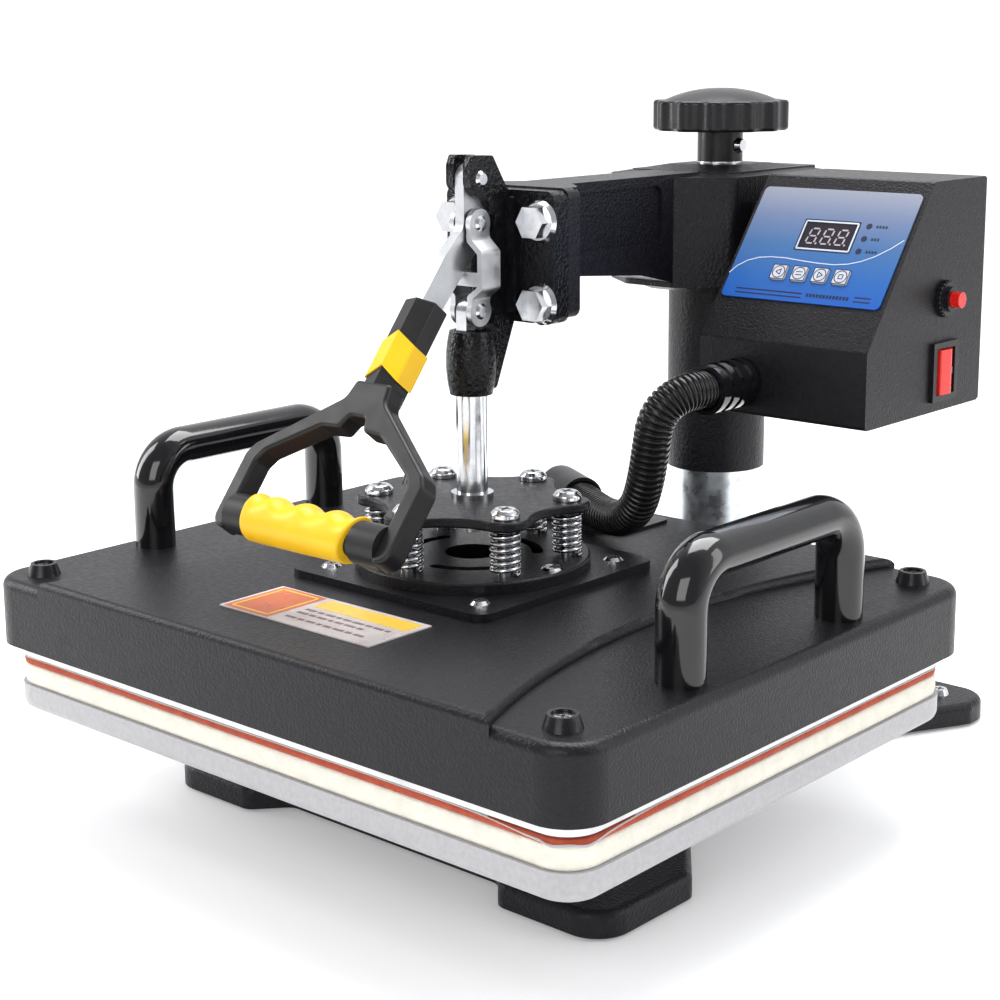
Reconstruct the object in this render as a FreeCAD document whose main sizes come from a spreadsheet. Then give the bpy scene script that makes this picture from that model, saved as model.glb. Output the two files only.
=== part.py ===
"""Swing-away heat press, 380 x 300 mm platen, as a parametric FreeCAD document.

Frame: +X to the operator's right, +Y to the rear, +Z up. The origin is on the
floor under the middle of the press. Positions along Y are given from the
platen's centre line, which lies at platen_y.
"""
import FreeCAD, Part
import math
import os
import re

Vec = FreeCAD.Vector
Turn = FreeCAD.Rotation
doc = FreeCAD.newDocument("heat_press")

# ---------------------------------------------------------------- dimensions

DIMENSIONS = {
    "platen_y": -74.0,
    # base casting
    "foot_pad_height": 1.5,
    "frame_height": 12.5,
    "frame_rounding": 4.0,
    "window_rounding": 5.0,
    "foot_x": 114.0,
    "front_foot_y": -46.0,
    "rear_foot_y": 284.0,
    "foot_radius": 19.0,
    "boss_radius": 36.0,
    "boss_top": 44.0,
    "pedestal_radius": 32.0,
    "pedestal_plate": 6.0,
    "pedestal_width": 150.0,
    "pedestal_depth": 110.0,
    "post_y": 212.0,
    "post_radius": 22.5,
    "post_bore": 18.5,
    "post_top": 300.0,
    "nut_length": 30.0,
    # lower platen
    "tray_width": 383.0,
    "tray_depth": 303.0,
    "tray_bottom": 55.0,
    "tray_height": 14.2,
    "tray_rounding": 6.0,
    "platen_width": 380.0,
    "platen_depth": 300.0,
    "platen_corner": 16.5,
    "pad_height": 10.8,
    "foam_height": 3.5,
    "sheet_height": 0.5,
    "soft_gap": 0.3,
    # heating platen
    "heater_height": 12.0,
    "cover_width": 395.2,
    "cover_depth": 316.0,
    "cover_corner": 21.0,
    "cover_bottom": 91.3,
    "cover_top": 126.0,
    "crown_height": 4.0,
    "crown_waist": 119.5,
    "crown_end": 153.0,
    "cover_wall": 1.5,
    "cover_rounding": 5.0,
    "cup_x": 175.0,
    "cup_y": 138.0,
    "square_width": 134.0,
    "square_corner": 9.0,
    "square_height": 4.0,
    "square_screw": 51.0,
    "disc_radius": 60.0,
    "disc_height": 6.0,
    "disc_hole": 14.5,
    "spring_circle": 48.5,
    "spring_phase": 31.5,
    "spring_height": 23.8,
    "spring_radius": 6.6,
    "spring_wire": 1.15,
    "lobe_radius": 11.5,
    "lobe_fillet": 34.0,
    "lobe_height": 5.0,
    "spring_screw": 4.0,
    "handle_x": 178.0,
    "handle_leg_y": 63.0,
    "handle_rise": 52.5,
    "handle_bend": 21.0,
    "handle_half_x": 12.0,
    "handle_half_y": 10.2,
    # toggle linkage
    "rod_radius": 8.0,
    "rod_bottom": 152.0,
    "rod_shoulder": 249.8,
    "collar_radius": 10.8,
    "collar_height": 2.8,
    "anchor_z": 329.3,
    "crank_z": 307.4,
    "tang_z": 264.0,
    "pin_radius": 4.0,
    "running_gap": 0.05,
    "lever_half": 2.9,
    "lever_depth": 7.3,
    "ear_inner": 3.3,
    "ear_outer": 8.0,
    "grip_y": -31.0,
    "grip_z": 269.0,
    "grip_slope": 51.5,
    # arm and head
    "arm_bottom": 277.0,
    "arm_top": 324.0,
    "head_bottom": 262.0,
    "head_peak": 326.4,
    "beam_half": 16.0,
    "sleeve_radius": 28.4,
    "sleeve_bottom": 150.8,
    "flange_front": 22.0,
    "flange_back": 33.0,
    "flange_half": 36.0,
    "end_plate_back": 42.0,
    "bolt_x": 27.0,
    "bolt_top_z": 308.0,
    "bolt_low_z": 267.0,
    "bolt_radius": 5.0,
    # pressure knob
    "washer_height": 1.2,
    "washer_radius": 13.6,
    "spindle_radius": 7.0,
    "hub_radius": 12.9,
    "hub_height": 17.4,
    "knob_radius": 38.5,
    "knob_height": 17.0,
    "knob_dome": 6.6,
    # control box
    "box_left": 55.5,
    "box_width": 101.0,
    "box_front": 118.0,
    "box_back": 233.0,
    "box_bottom": 204.0,
    "box_fold": 243.0,
    "box_top": 324.0,
    "box_slant_y": 180.0,
    "box_wall": 1.5,
    "panel_width": 95.6,
    "panel_height": 68.8,
    "panel_thick": 0.8,
    "panel_low": 24.8,
    "button_width": 9.0,
    "button_travel": 0.6,
    "gland_x": 81.5,
    "gland_z": 221.0,
    "gland_radius": 13.0,
    "gland_length": 32.0,
    "hose_radius": 9.9,
}

sheet = doc.addObject("Spreadsheet::Sheet", "dims")
for row, (alias, value) in enumerate(DIMENSIONS.items(), start=1):
    sheet.set(f"A{row}", alias)
    sheet.set(f"B{row}", str(value))
    sheet.setAlias(f"B{row}", alias)
doc.recompute()


def dim(alias):
    """The sheet's present value of one dimension."""
    return float(sheet.get(alias))


# ---------------------------------------------------------------- helpers

parts = {}


def expr(text):
    """Turn dimension names in an expression into references to the sheet."""
    return re.sub(r"\b([a-z]\w*_\w+)\b", r"dims.\1", str(text))


def bind(obj, **sizes):
    for prop, text in sizes.items():
        obj.setExpression(prop, expr(text))
    return obj


def place(obj, x=0, y=0, z=0, turn=None):
    """Put an object at x, y, z, with y counted from the platen's centre."""
    if turn is not None:
        obj.Placement = FreeCAD.Placement(Vec(), turn)
    obj.setExpression(".Placement.Base.x", expr(x))
    obj.setExpression(".Placement.Base.y", expr(f"platen_y + {y}"))
    obj.setExpression(".Placement.Base.z", expr(z))
    return obj


def keep(name, obj):
    """Register the finished sub-part under its node name."""
    obj.Label = name
    parts[name] = obj
    return obj


ALONG_X = Turn(Vec(0, 1, 0), 90)
ALONG_MINUS_Y = Turn(Vec(1, 0, 0), 90)


def cylinder(label, radius, height, x=0, y=0, z=0, turn=None):
    obj = doc.addObject("Part::Cylinder", label)
    bind(obj, Radius=radius, Height=height)
    return place(obj, x, y, z, turn)


def cone(label, radius_low, radius_high, height, x=0, y=0, z=0, turn=None):
    obj = doc.addObject("Part::Cone", label)
    bind(obj, Radius1=radius_low, Radius2=radius_high, Height=height)
    return place(obj, x, y, z, turn)


def hexagon(label, radius, height, x=0, y=0, z=0, turn=None):
    obj = doc.addObject("Part::Prism", label)
    obj.Polygon = 6
    bind(obj, Circumradius=radius, Height=height)
    return place(obj, x, y, z, turn)


def block(label, size, x=0, y=0, z=0):
    """A box centred on x and y, standing on z."""
    length, width, height = size
    obj = doc.addObject("Part::Box", label)
    bind(obj, Length=length, Width=width, Height=height)
    return place(obj, f"({x}) - ({length}) / 2", f"({y}) - ({width}) / 2", z)


def fuse(label, *objects):
    obj = doc.addObject("Part::MultiFuse", label)
    obj.Shapes = list(objects)
    return obj


def group(label, objects):
    obj = doc.addObject("Part::Compound", label)
    obj.Links = list(objects)
    return obj


def cut(label, base, *tools):
    tool = tools[0] if len(tools) == 1 else fuse(label + "_tools", *tools)
    obj = doc.addObject("Part::Cut", label)
    obj.Base = base
    obj.Tool = tool
    return obj


def common(label, base, tool):
    obj = doc.addObject("Part::Common", label)
    obj.Base = base
    obj.Tool = tool
    return obj


def ring(label, outer, inner, height, x=0, y=0, z=0, turn=None):
    body = cylinder(label + "_outside", outer, height, x, y, z, turn)
    bore = cylinder(label + "_inside", inner, height, x, y, z, turn)
    return cut(label, body, bore)


def rounded(points, radii):
    """A closed outline through points, each corner rounded by its radius."""
    corners = [Vec(p[0], p[1], 0) for p in points]
    if not isinstance(radii, (list, tuple)):
        radii = [radii] * len(corners)
    ends = []
    arcs = []
    for i, corner in enumerate(corners):
        back = (corners[i - 1] - corner).normalize()
        ahead = (corners[(i + 1) % len(corners)] - corner).normalize()
        if radii[i] <= 0:
            ends.append((corner, corner))
            arcs.append(None)
            continue
        half = back.getAngle(ahead) / 2
        reach = radii[i] / math.tan(half)
        start = corner + back * reach
        end = corner + ahead * reach
        middle_way = (back + ahead).normalize()
        centre = corner + middle_way * (radii[i] / math.sin(half))
        mid = centre - middle_way * radii[i]
        ends.append((start, end))
        arcs.append(Part.Arc(start, mid, end))
    outline = []
    for i in range(len(corners)):
        if arcs[i] is not None:
            outline.append(arcs[i])
        start = ends[i][1]
        end = ends[(i + 1) % len(corners)][0]
        if start.distanceToPoint(end) > 1e-6:
            outline.append(Part.LineSegment(start, end))
    return outline


def rectangle(width, depth, corner, x=0, y=0):
    w, d = width / 2, depth / 2
    points = [(x - w, y - d), (x + w, y - d), (x + w, y + d), (x - w, y + d)]
    return rounded(points, corner)


def circle(x, y, radius):
    return [Part.Circle(Vec(x, y, 0), Vec(0, 0, 1), radius)]


def sketch_on(body, role, name, *loops):
    drawing = body.newObject("Sketcher::SketchObject", name)
    plane = next(f for f in body.Origin.OriginFeatures if f.Role == role)
    drawing.AttachmentSupport = [(plane, "")]
    drawing.MapMode = "FlatFace"
    for loop in loops:
        drawing.addGeometry(loop, False)
    return drawing


def prism(label, loops, height, x=0, y=0, z=0, role="XY_Plane", turn=None):
    """A PartDesign body: outlines on an origin plane, padded by height.

    XY pads run up, YZ pads run to +X and XZ pads run to -Y.
    """
    body = doc.addObject("PartDesign::Body", label)
    drawing = sketch_on(body, role, label + "_sketch", *loops)
    pad = body.newObject("PartDesign::Pad", label + "_pad")
    pad.Profile = drawing
    bind(pad, Length=height)
    place(body, x, y, z, turn)
    return body


def revolved(label, outline, x=0, y=0, z=0, turn=None):
    """A PartDesign body turned about Z from an outline of radius and height."""
    body = doc.addObject("PartDesign::Body", label)
    drawing = sketch_on(body, "XZ_Plane", label + "_sketch", outline)
    turned = body.newObject("PartDesign::Revolution", label + "_turn")
    turned.Profile = drawing
    turned.ReferenceAxis = (drawing, ["V_Axis"])
    turned.Angle = 360
    place(body, x, y, z, turn)
    return body


def fillet_body(body, radius, test):
    """Round the edges of a body's tip that pass the test, in its own frame."""
    doc.recompute()
    tip = body.Tip
    names = []
    for number, edge in enumerate(tip.Shape.Edges, start=1):
        if test(edge):
            names.append(f"Edge{number}")
    rounding = body.newObject("PartDesign::Fillet", body.Label + "_fillet")
    rounding.Base = (tip, names)
    bind(rounding, Radius=radius)
    body.Tip = rounding
    doc.recompute()
    return body


def at_height(z):
    """A test for edges that lie flat at one height."""

    def test(edge):
        box = edge.BoundBox
        return abs(box.ZMin - z) < 1e-4 and abs(box.ZMax - z) < 1e-4

    return test


def around(count, radius, phase=0.0):
    """Places of a circular pattern about the platen's centre."""
    for i in range(count):
        angle = math.radians(phase + 360.0 / count * i)
        yield radius * math.cos(angle), radius * math.sin(angle)


def corners_of(x, y):
    return [(-x, -y), (x, -y), (x, y), (-x, y)]


def feature(label, shape, z=0.0):
    """A plain feature for a swept shape, set down on the platen's centre."""
    obj = doc.addObject("Part::Feature", label)
    obj.Shape = shape
    obj.Placement = FreeCAD.Placement(Vec(0, dim("platen_y"), z), Turn())
    return obj


# ---------------------------------------------------------------- base


FEET = [
    (-dim("foot_x"), dim("front_foot_y")),
    (dim("foot_x"), dim("front_foot_y")),
    (dim("foot_x"), dim("rear_foot_y")),
    (-dim("foot_x"), dim("rear_foot_y")),
]
FRAME_TOP = "(foot_pad_height + frame_height)"


def base_frame():
    """Flat X-shaped casting with a spine, a post boss and a tray pedestal."""
    half = [(72, -63), (88, -81), (150, -81), (151, -15), (48, 121), (129, 265)]
    half += [(137, 280), (137, 306), (85, 306), (72, 292)]
    radii = [8, 8, 18, 8, 14, 8, 6, 18, 6, 8]
    outline = half + [(-x, y) for x, y in reversed(half)]
    corner_radii = radii + radii[::-1]
    window = dim("window_rounding")
    loops = [rounded(outline, corner_radii)]
    for side in (-1, 1):
        front = [(34 * side, -34), (88 * side, -34), (34 * side, 50)]
        rear = [(40 * side, 212), (40 * side, 276), (80 * side, 276)]
        loops.append(rounded(front, window))
        loops.append(rounded(rear, window))
    plate = prism("frame_plate", loops, "frame_height", z="foot_pad_height")
    top = dim("frame_height")
    outer_reach = 62.0

    def outer_top_edge(edge):
        box = edge.BoundBox
        flat = at_height(top)(edge)
        wide = max(abs(box.XMin), abs(box.XMax)) > 89 or box.YMin < -50
        behind = box.YMax > 285 and max(abs(box.XMin), abs(box.XMax)) > outer_reach
        return flat and (wide or behind)

    fillet_body(plate, "frame_rounding", outer_top_edge)
    boss = cylinder("post_boss", "boss_radius", f"boss_top - {FRAME_TOP}", 0, "post_y", FRAME_TOP)
    plate_z = "tray_bottom - pedestal_plate"
    pedestal = cylinder("pedestal", "pedestal_radius", f"{plate_z} - {FRAME_TOP}", 0, 0, FRAME_TOP)
    head_size = ("pedestal_width", "pedestal_depth", "pedestal_plate")
    pedestal_head = block("pedestal_head", head_size, 0, 0, plate_z)
    solid = fuse("frame_solid", plate, boss, pedestal, pedestal_head)
    bore = cylinder("post_socket", "post_radius", "boss_top", 0, "post_y", FRAME_TOP)
    holes = [cylinder("foot_hole", 3.0, 40, x, y, 0) for x, y in FEET]
    keep("base_frame", cut("base_frame", solid, bore, *holes))


def feet():
    pads = []
    screws = []
    for x, y in FEET:
        pads.append(ring("foot_disc", "foot_radius", 3.0, "foot_pad_height", x, y, 0))
        shank = cylinder("foot_shank", 3.0, f"{FRAME_TOP} - foot_pad_height", x, y, "foot_pad_height")
        head = cone("foot_head", 5.6, 4.2, 3.2, x, y, FRAME_TOP)
        screws.append(fuse("foot_screw", shank, head))
    keep("rubber_feet", group("rubber_feet", pads))
    keep("foot_screws", group("foot_screws", screws))


def post():
    tube_height = f"post_top - {FRAME_TOP}"
    tube = ring("post", "post_radius", "post_bore", tube_height, 0, "post_y", FRAME_TOP)
    keep("post", tube)
    nut_bore = "spindle_radius + running_gap"
    nut = ring("lift_nut", "post_bore", nut_bore, "nut_length", 0, "post_y", "post_top - nut_length")
    keep("lift_nut", nut)


def lower_platen():
    tray = prism(
        "lower_tray",
        [rectangle(dim("tray_width"), dim("tray_depth"), dim("platen_corner") + 1.5)],
        "tray_height",
        z="tray_bottom",
    )
    fillet_body(tray, "tray_rounding", at_height(0.0))
    keep("lower_tray", tray)
    outline = [rectangle(dim("platen_width"), dim("platen_depth"), dim("platen_corner"))]
    pad_z = "tray_bottom + tray_height"
    foam_z = f"{pad_z} + pad_height"
    sheet_z = f"{foam_z} + foam_height"
    keep("sponge_pad", prism("sponge_pad", outline, "pad_height", z=pad_z))
    keep("foam_sheet", prism("foam_sheet", outline, "foam_height", z=foam_z))
    keep("release_sheet", prism("release_sheet", outline, "sheet_height", z=sheet_z))


# ---------------------------------------------------------------- heating platen

HEATER_Z = "(tray_bottom + tray_height + pad_height + foam_height + sheet_height + soft_gap)"
CROWN_TOP = "(cover_top + crown_height)"
DISC_Z = f"({CROWN_TOP} + square_height)"
SPRING_Z = f"({DISC_Z} + disc_height)"
LOBE_Z = f"({SPRING_Z} + spring_height)"
LOBE_TOP = f"({LOBE_Z} + lobe_height)"


def crown_outline(inset):
    """The raised middle: straight front and rear, sides curved inwards."""
    waist = dim("crown_waist") - inset
    end = dim("crown_end") - inset
    depth = dim("cover_depth") / 2 - inset
    front = [Vec(-end, -depth, 0), Vec(end, -depth, 0)]
    rear = [Vec(end, depth, 0), Vec(-end, depth, 0)]
    return [
        Part.LineSegment(front[0], front[1]),
        Part.Arc(front[1], Vec(waist, 0, 0), rear[0]),
        Part.LineSegment(rear[0], rear[1]),
        Part.Arc(rear[1], Vec(-waist, 0, 0), front[0]),
    ]


def platen_cover():
    width, depth = dim("cover_width"), dim("cover_depth")
    wall = dim("cover_wall")
    corner = dim("cover_corner")
    low_height = dim("cover_top") - dim("cover_bottom")
    shell = prism(
        "cover_shell", [rectangle(width, depth, corner)], "cover_top - cover_bottom", z="cover_bottom"
    )
    fillet_body(shell, "cover_rounding", at_height(low_height))
    crown_base = "cover_top - 10"
    crown = prism("cover_crown", [crown_outline(0)], "crown_height + 10", z=crown_base)
    fillet_body(crown, 3.6, at_height(dim("crown_height") + 10))
    skin = fuse("cover_skin", shell, crown)
    inner_low = prism(
        "cover_hollow",
        [rectangle(width - 2 * wall, depth - 2 * wall, corner - wall)],
        "cover_top - cover_bottom - cover_wall - 2",
        z="cover_bottom",
    )
    inner_high = prism(
        "crown_hollow", [crown_outline(5)], "crown_height + 10 - cover_wall", z=crown_base
    )
    holes = []
    for x, y in corners_of(dim("cup_x"), dim("cup_y")):
        holes.append(cylinder("cup_hole", 2.5, 30, x, y, "cover_top - 20"))
    for x, y in corners_of(dim("square_screw"), dim("square_screw")):
        holes.append(cylinder("square_hole", 3.0, 30, x, y, "cover_top - 20"))
    holes.append(cylinder("wire_hole", "disc_hole", 30, 0, 0, "cover_top - 10"))
    keep("platen_cover", cut("platen_cover", skin, inner_low, inner_high, *holes))


def heater():
    outline = [rectangle(dim("platen_width"), dim("platen_depth"), dim("platen_corner"))]
    plate = prism("heater_casting", outline, "heater_height", z=HEATER_Z)
    top = f"({HEATER_Z} + heater_height)"
    bosses = []
    for x, y in corners_of(dim("square_screw"), dim("square_screw")):
        height = f"{CROWN_TOP} - cover_wall - {top}"
        bosses.append(cylinder("square_boss", 8.0, height, x, y, top))
    for x, y in corners_of(dim("cup_x"), dim("cup_y")):
        height = f"cover_top - cover_wall - 2 - {top}"
        bosses.append(cylinder("cup_boss", 6.0, height, x, y, top))
    solid = fuse("heater_solid", plate, *bosses)
    tapped = []
    for x, y in corners_of(dim("square_screw"), dim("square_screw")):
        tapped.append(cylinder("square_tap", 3.0, 24, x, y, f"{CROWN_TOP} - 22"))
    for x, y in corners_of(dim("cup_x"), dim("cup_y")):
        tapped.append(cylinder("cup_tap", 2.5, 24, x, y, "cover_top - 18"))
    keep("heater_plate", cut("heater_plate", solid, *tapped))
    element_outline = rectangle(250, 190, 40)
    path = Part.Wire([edge.toShape() for edge in element_outline])
    tube = 3.8
    start = path.Edges[0].Curve.value(path.Edges[0].FirstParameter)
    tangent = path.Edges[0].Curve.tangent(path.Edges[0].FirstParameter)[0]
    profile = Part.Wire([Part.Circle(start, tangent, tube).toShape()])
    loop = path.makePipeShell([profile], True, True)
    keep("heating_element", feature("heating_element", loop, heater_top_value() + tube))


def heater_top_value():
    stack = ["tray_bottom", "tray_height", "pad_height", "foam_height", "sheet_height"]
    return sum(dim(alias) for alias in stack) + dim("soft_gap") + dim("heater_height")


def mounting_plates():
    square = dim("square_width")
    holes = [circle(0, 0, dim("disc_hole"))]
    for x, y in corners_of(dim("square_screw"), dim("square_screw")):
        holes.append(circle(x, y, 3.0))
    for x, y in around(3, 52.0, 1.5):
        holes.append(circle(x, y, 2.5))
    outline = rectangle(square, square, dim("square_corner"))
    plate = prism("mounting_plate", [outline, *holes], "square_height", z=CROWN_TOP)
    keep("mounting_plate", plate)

    radius = dim("disc_radius")
    loops = [circle(0, 0, radius), circle(0, 0, dim("disc_hole"))]
    for x, y in around(6, dim("spring_circle"), dim("spring_phase")):
        loops.append(circle(x, y, dim("spring_screw")))
    for x, y in around(3, 52.0, 1.5):
        loops.append(circle(x, y, 2.5))
    for i in range(3):
        loops.append(arc_slot(33.0, 3.0, 61.5 + 120 * i, 46.0))
    disc = prism("spring_disc", loops, "disc_height", z=DISC_Z)
    fillet_body(disc, 1.2, lambda edge: rim_edge(edge, radius, dim("disc_height")))
    keep("spring_disc", disc)


def rim_edge(edge, radius, height):
    box = edge.BoundBox
    return at_height(height)(edge) and box.XMax > radius - 1 and box.XMin < 1 - radius


def arc_slot(radius, half, middle, span):
    """A curved slot about the centre, with round ends."""

    def spot(r, degrees):
        angle = math.radians(degrees)
        return Vec(r * math.cos(angle), r * math.sin(angle), 0)

    first, last = middle - span / 2, middle + span / 2
    end = math.degrees(half / radius)
    return [
        Part.Arc(spot(radius + half, first), spot(radius + half, middle), spot(radius + half, last)),
        Part.Arc(spot(radius + half, last), spot(radius, last + end), spot(radius - half, last)),
        Part.Arc(spot(radius - half, last), spot(radius - half, middle), spot(radius - half, first)),
        Part.Arc(spot(radius - half, first), spot(radius, first - end), spot(radius + half, first)),
    ]


def platen_fasteners():
    small = []
    for x, y in corners_of(dim("square_screw"), dim("square_screw")):
        shank = cylinder("square_shank", 3.0, "square_height + 16", x, y, f"{DISC_Z} - square_height - 16")
        head = cone("square_head", 5.2, 3.6, 1.6, x, y, DISC_Z)
        small.append(fuse("square_screws", shank, head))
    for x, y in around(3, 52.0, 1.5):
        shank = cylinder("disc_shank", 2.5, "disc_height + square_height", x, y, CROWN_TOP)
        head = cone("disc_head", 5.6, 4.6, 1.0, x, y, SPRING_Z)
        small.append(fuse("disc_screw", shank, head))
    cups = []
    for x, y in corners_of(dim("cup_x"), dim("cup_y")):
        shell = cone("cup_outside", 8.6, 6.7, 6.0, x, y, "cover_top")
        dish = cylinder("cup_dish", 5.0, 4.0, x, y, "cover_top + 3")
        bore = cylinder("cup_bore", 2.5, 8, x, y, "cover_top - 1")
        cups.append(cut("cup", shell, dish, bore))
        shank = cylinder("cup_shank", 2.5, 17, x, y, "cover_top - 14")
        head = cylinder("cup_head", 4.6, 1.8, x, y, "cover_top + 3")
        small.append(fuse("cup_screw", shank, head))
    keep("cup_washers", group("cup_washers", cups))
    keep("platen_screws", group("platen_screws", small))

    screws = []
    springs = []
    for x, y in around(6, dim("spring_circle"), dim("spring_phase")):
        shank_height = "disc_height + spring_height + lobe_height"
        shank = cylinder("spring_shank", "spring_screw", shank_height, x, y, DISC_Z)
        head = revolved("spring_head", pan_head(7.2, 4.8), x, y, LOBE_TOP)
        screws.append(fuse("spring_screw_solid", shank, head))
        springs.append(coil(x, y))
    keep("spring_screws", group("spring_screws", screws))
    keep("platen_springs", feature("platen_springs", Part.makeCompound(springs)))


def pan_head(radius, height):
    """Half outline of a pan head: radius along X, height along Y."""
    points = [(0, 0), (radius, 0), (radius, height * 0.55), (radius * 0.72, height), (0, height)]
    return rounded(points, [0, 0.3, 1.2, 1.6, 0])


def coil(x, y):
    """One compression spring between the disc and the lobed plate."""
    wire = dim("spring_wire")
    bottom = dim("cover_top") + dim("crown_height") + dim("square_height") + dim("disc_height")
    rise = dim("spring_height") - 2 * wire - 0.02
    turns = 6.5
    helix = Part.makeHelix(rise / turns, rise, dim("spring_radius"))
    start = Vec(dim("spring_radius"), 0, 0)
    slope = Vec(0, 2 * math.pi * dim("spring_radius"), rise / turns)
    profile = Part.Wire([Part.Circle(start, slope, wire).toShape()])
    spring = Part.Wire(helix).makePipeShell([profile], True, True)
    spring.translate(Vec(x, y, bottom + wire + 0.01))
    return spring


def pressure_plate():
    """Six-lobed plate that the plunger carries, one lobe over each spring."""
    circle_radius, lobe = dim("spring_circle"), dim("lobe_radius")
    hollow = dim("lobe_fillet")
    reach = lobe + hollow
    half = math.radians(30)
    across = circle_radius * math.sin(half)
    away = circle_radius * math.cos(half) + math.sqrt(reach**2 - across**2)
    outline = []
    for i in range(6):
        angle = math.radians(dim("spring_phase") + 60 * i)
        centre = polar(circle_radius, angle)
        before = polar(away, angle - half)
        after = polar(away, angle + half)
        start = centre + (before - centre).normalize() * lobe
        end = centre + (after - centre).normalize() * lobe
        outline.append(Part.Arc(start, polar(circle_radius + lobe, angle), end))
        following = polar(circle_radius, angle + 2 * half)
        next_start = following + (after - following).normalize() * lobe
        outline.append(Part.Arc(end, polar(away - hollow, angle + half), next_start))
    holes = [circle(0, 0, dim("rod_radius"))]
    for x, y in around(6, circle_radius, dim("spring_phase")):
        holes.append(circle(x, y, dim("spring_screw") + 0.5))
    plate = prism("pressure_plate", [outline, *holes], "lobe_height", z=LOBE_Z)

    def lobe_edge(edge):
        box = edge.BoundBox
        small = edge.Curve.TypeId == "Part::GeomCircle" and edge.Curve.Radius < 9
        flat = at_height(0)(edge) or at_height(dim("lobe_height"))(edge)
        return flat and not small and box.DiagonalLength > 5

    fillet_body(plate, 1.3, lobe_edge)
    keep("pressure_plate", plate)


def polar(radius, angle):
    return Vec(radius * math.cos(angle), radius * math.sin(angle), 0)


def platen_handle(name, x):
    """Bent oval bar with both legs standing on the cover."""
    leg, rise = dim("handle_leg_y"), dim("handle_rise")
    bend = dim("handle_bend")
    body = doc.addObject("PartDesign::Body", name + "_body")
    oval = [Part.Ellipse(Vec(0, -leg, 0), dim("handle_half_x"), dim("handle_half_y"))]
    profile = sketch_on(body, "XY_Plane", name + "_section", oval)
    drop = bend * (1 - math.sqrt(0.5))
    route = [
        Part.LineSegment(Vec(-leg, 0, 0), Vec(-leg, rise - bend, 0)),
        Part.Arc(
            Vec(-leg, rise - bend, 0), Vec(drop - leg, rise - drop, 0), Vec(bend - leg, rise, 0)
        ),
        Part.LineSegment(Vec(bend - leg, rise, 0), Vec(leg - bend, rise, 0)),
        Part.Arc(Vec(leg - bend, rise, 0), Vec(leg - drop, rise - drop, 0), Vec(leg, rise - bend, 0)),
        Part.LineSegment(Vec(leg, rise - bend, 0), Vec(leg, 0, 0)),
    ]
    spine = sketch_on(body, "YZ_Plane", name + "_route", route)
    doc.recompute()
    pipe = body.newObject("PartDesign::AdditivePipe", name + "_pipe")
    pipe.Profile = profile
    pipe.Spine = (spine, [f"Edge{i + 1}" for i in range(len(route))])
    place(body, x, 0, "cover_top")
    keep(name, body)


def cover_trim():
    label = block("label_plate", (102, 41, 0.6), 0, -104.5, CROWN_TOP)
    keep("label_plate", label)
    elbow_x, elbow_y, elbow_z = -49.0, 128.8, "cover_top + 17.6"
    flange = prism("elbow_flange", [rectangle(80, 44, 5, -24, 125)], 1.6, z=CROWN_TOP)
    rise = f"{elbow_z} - {CROWN_TOP}"
    riser = cylinder("elbow_riser", 12.3, rise, elbow_x, elbow_y, CROWN_TOP)
    knee = doc.addObject("Part::Sphere", "elbow_knee")
    knee.Radius = 12.3
    place(knee, elbow_x, elbow_y, elbow_z)
    sideways = Turn(Vec(0, 0, 1), -29.4) * ALONG_X
    sleeve = cylinder("elbow_sleeve", 12.3, 33, elbow_x, elbow_y, elbow_z, sideways)
    solid = fuse("elbow_solid", flange, riser, knee, sleeve)
    throat = cylinder("elbow_throat", "hose_radius + 0.6", 40, elbow_x, elbow_y, elbow_z, sideways)
    drop = cylinder("elbow_drop", "hose_radius", f"{rise} + 8", elbow_x, elbow_y, f"{CROWN_TOP} - 8")
    keep("hose_elbow", cut("hose_elbow", solid, throat, drop))


# ---------------------------------------------------------------- toggle linkage


def plunger():
    shaft = cylinder("rod_shaft", "rod_radius", "rod_shoulder - rod_bottom", 0, 0, "rod_bottom")
    tang = block("rod_tang", (6.8, 14, "tang_z - rod_shoulder"), 0, 0, "rod_shoulder")
    eye = cylinder("rod_eye", 7.0, 6.8, -3.4, 0, "tang_z", ALONG_X)
    cap = common(
        "rod_cap",
        fuse("rod_head", tang, eye),
        cylinder("rod_head_limit", "rod_radius", 40, 0, 0, "rod_shoulder"),
    )
    solid = fuse("rod_solid", shaft, cap)
    hole = cylinder("rod_eye_hole", "pin_radius + 0.3", 20, -10, 0, "tang_z", ALONG_X)
    keep("plunger_rod", cut("plunger_rod", solid, hole))
    keep("rod_collar", ring("rod_collar", "collar_radius", "rod_radius", "collar_height", 0, 0, LOBE_TOP))
    nut = hexagon("nut_body", 13.5, 7.5, 0, 0, f"{LOBE_Z} - 7.5")
    nut_bore = cylinder("nut_bore", "rod_radius", 7.5, 0, 0, f"{LOBE_Z} - 7.5")
    keep("rod_nut", cut("rod_nut", nut, nut_bore))


def cheek_outline():
    """Side outline (Y, Z) of the bracket's web and ears."""
    points = [(24, 257.3), (24, 323), (19.5, 323), (8.5, 340.4), (-6, 341)]
    points += [(-8.2, 336), (-8.2, 326), (-3, 320.8), (4, 319), (9.6, 311)]
    points += [(9.6, 257), (5, 253), (5, 224), (10.4, 224.5)]
    radii = [0, 0, 3, 2, 2, 4, 5, 4, 6, 2, 1, 0, 0, 2]
    return rounded(points, radii)


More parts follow.
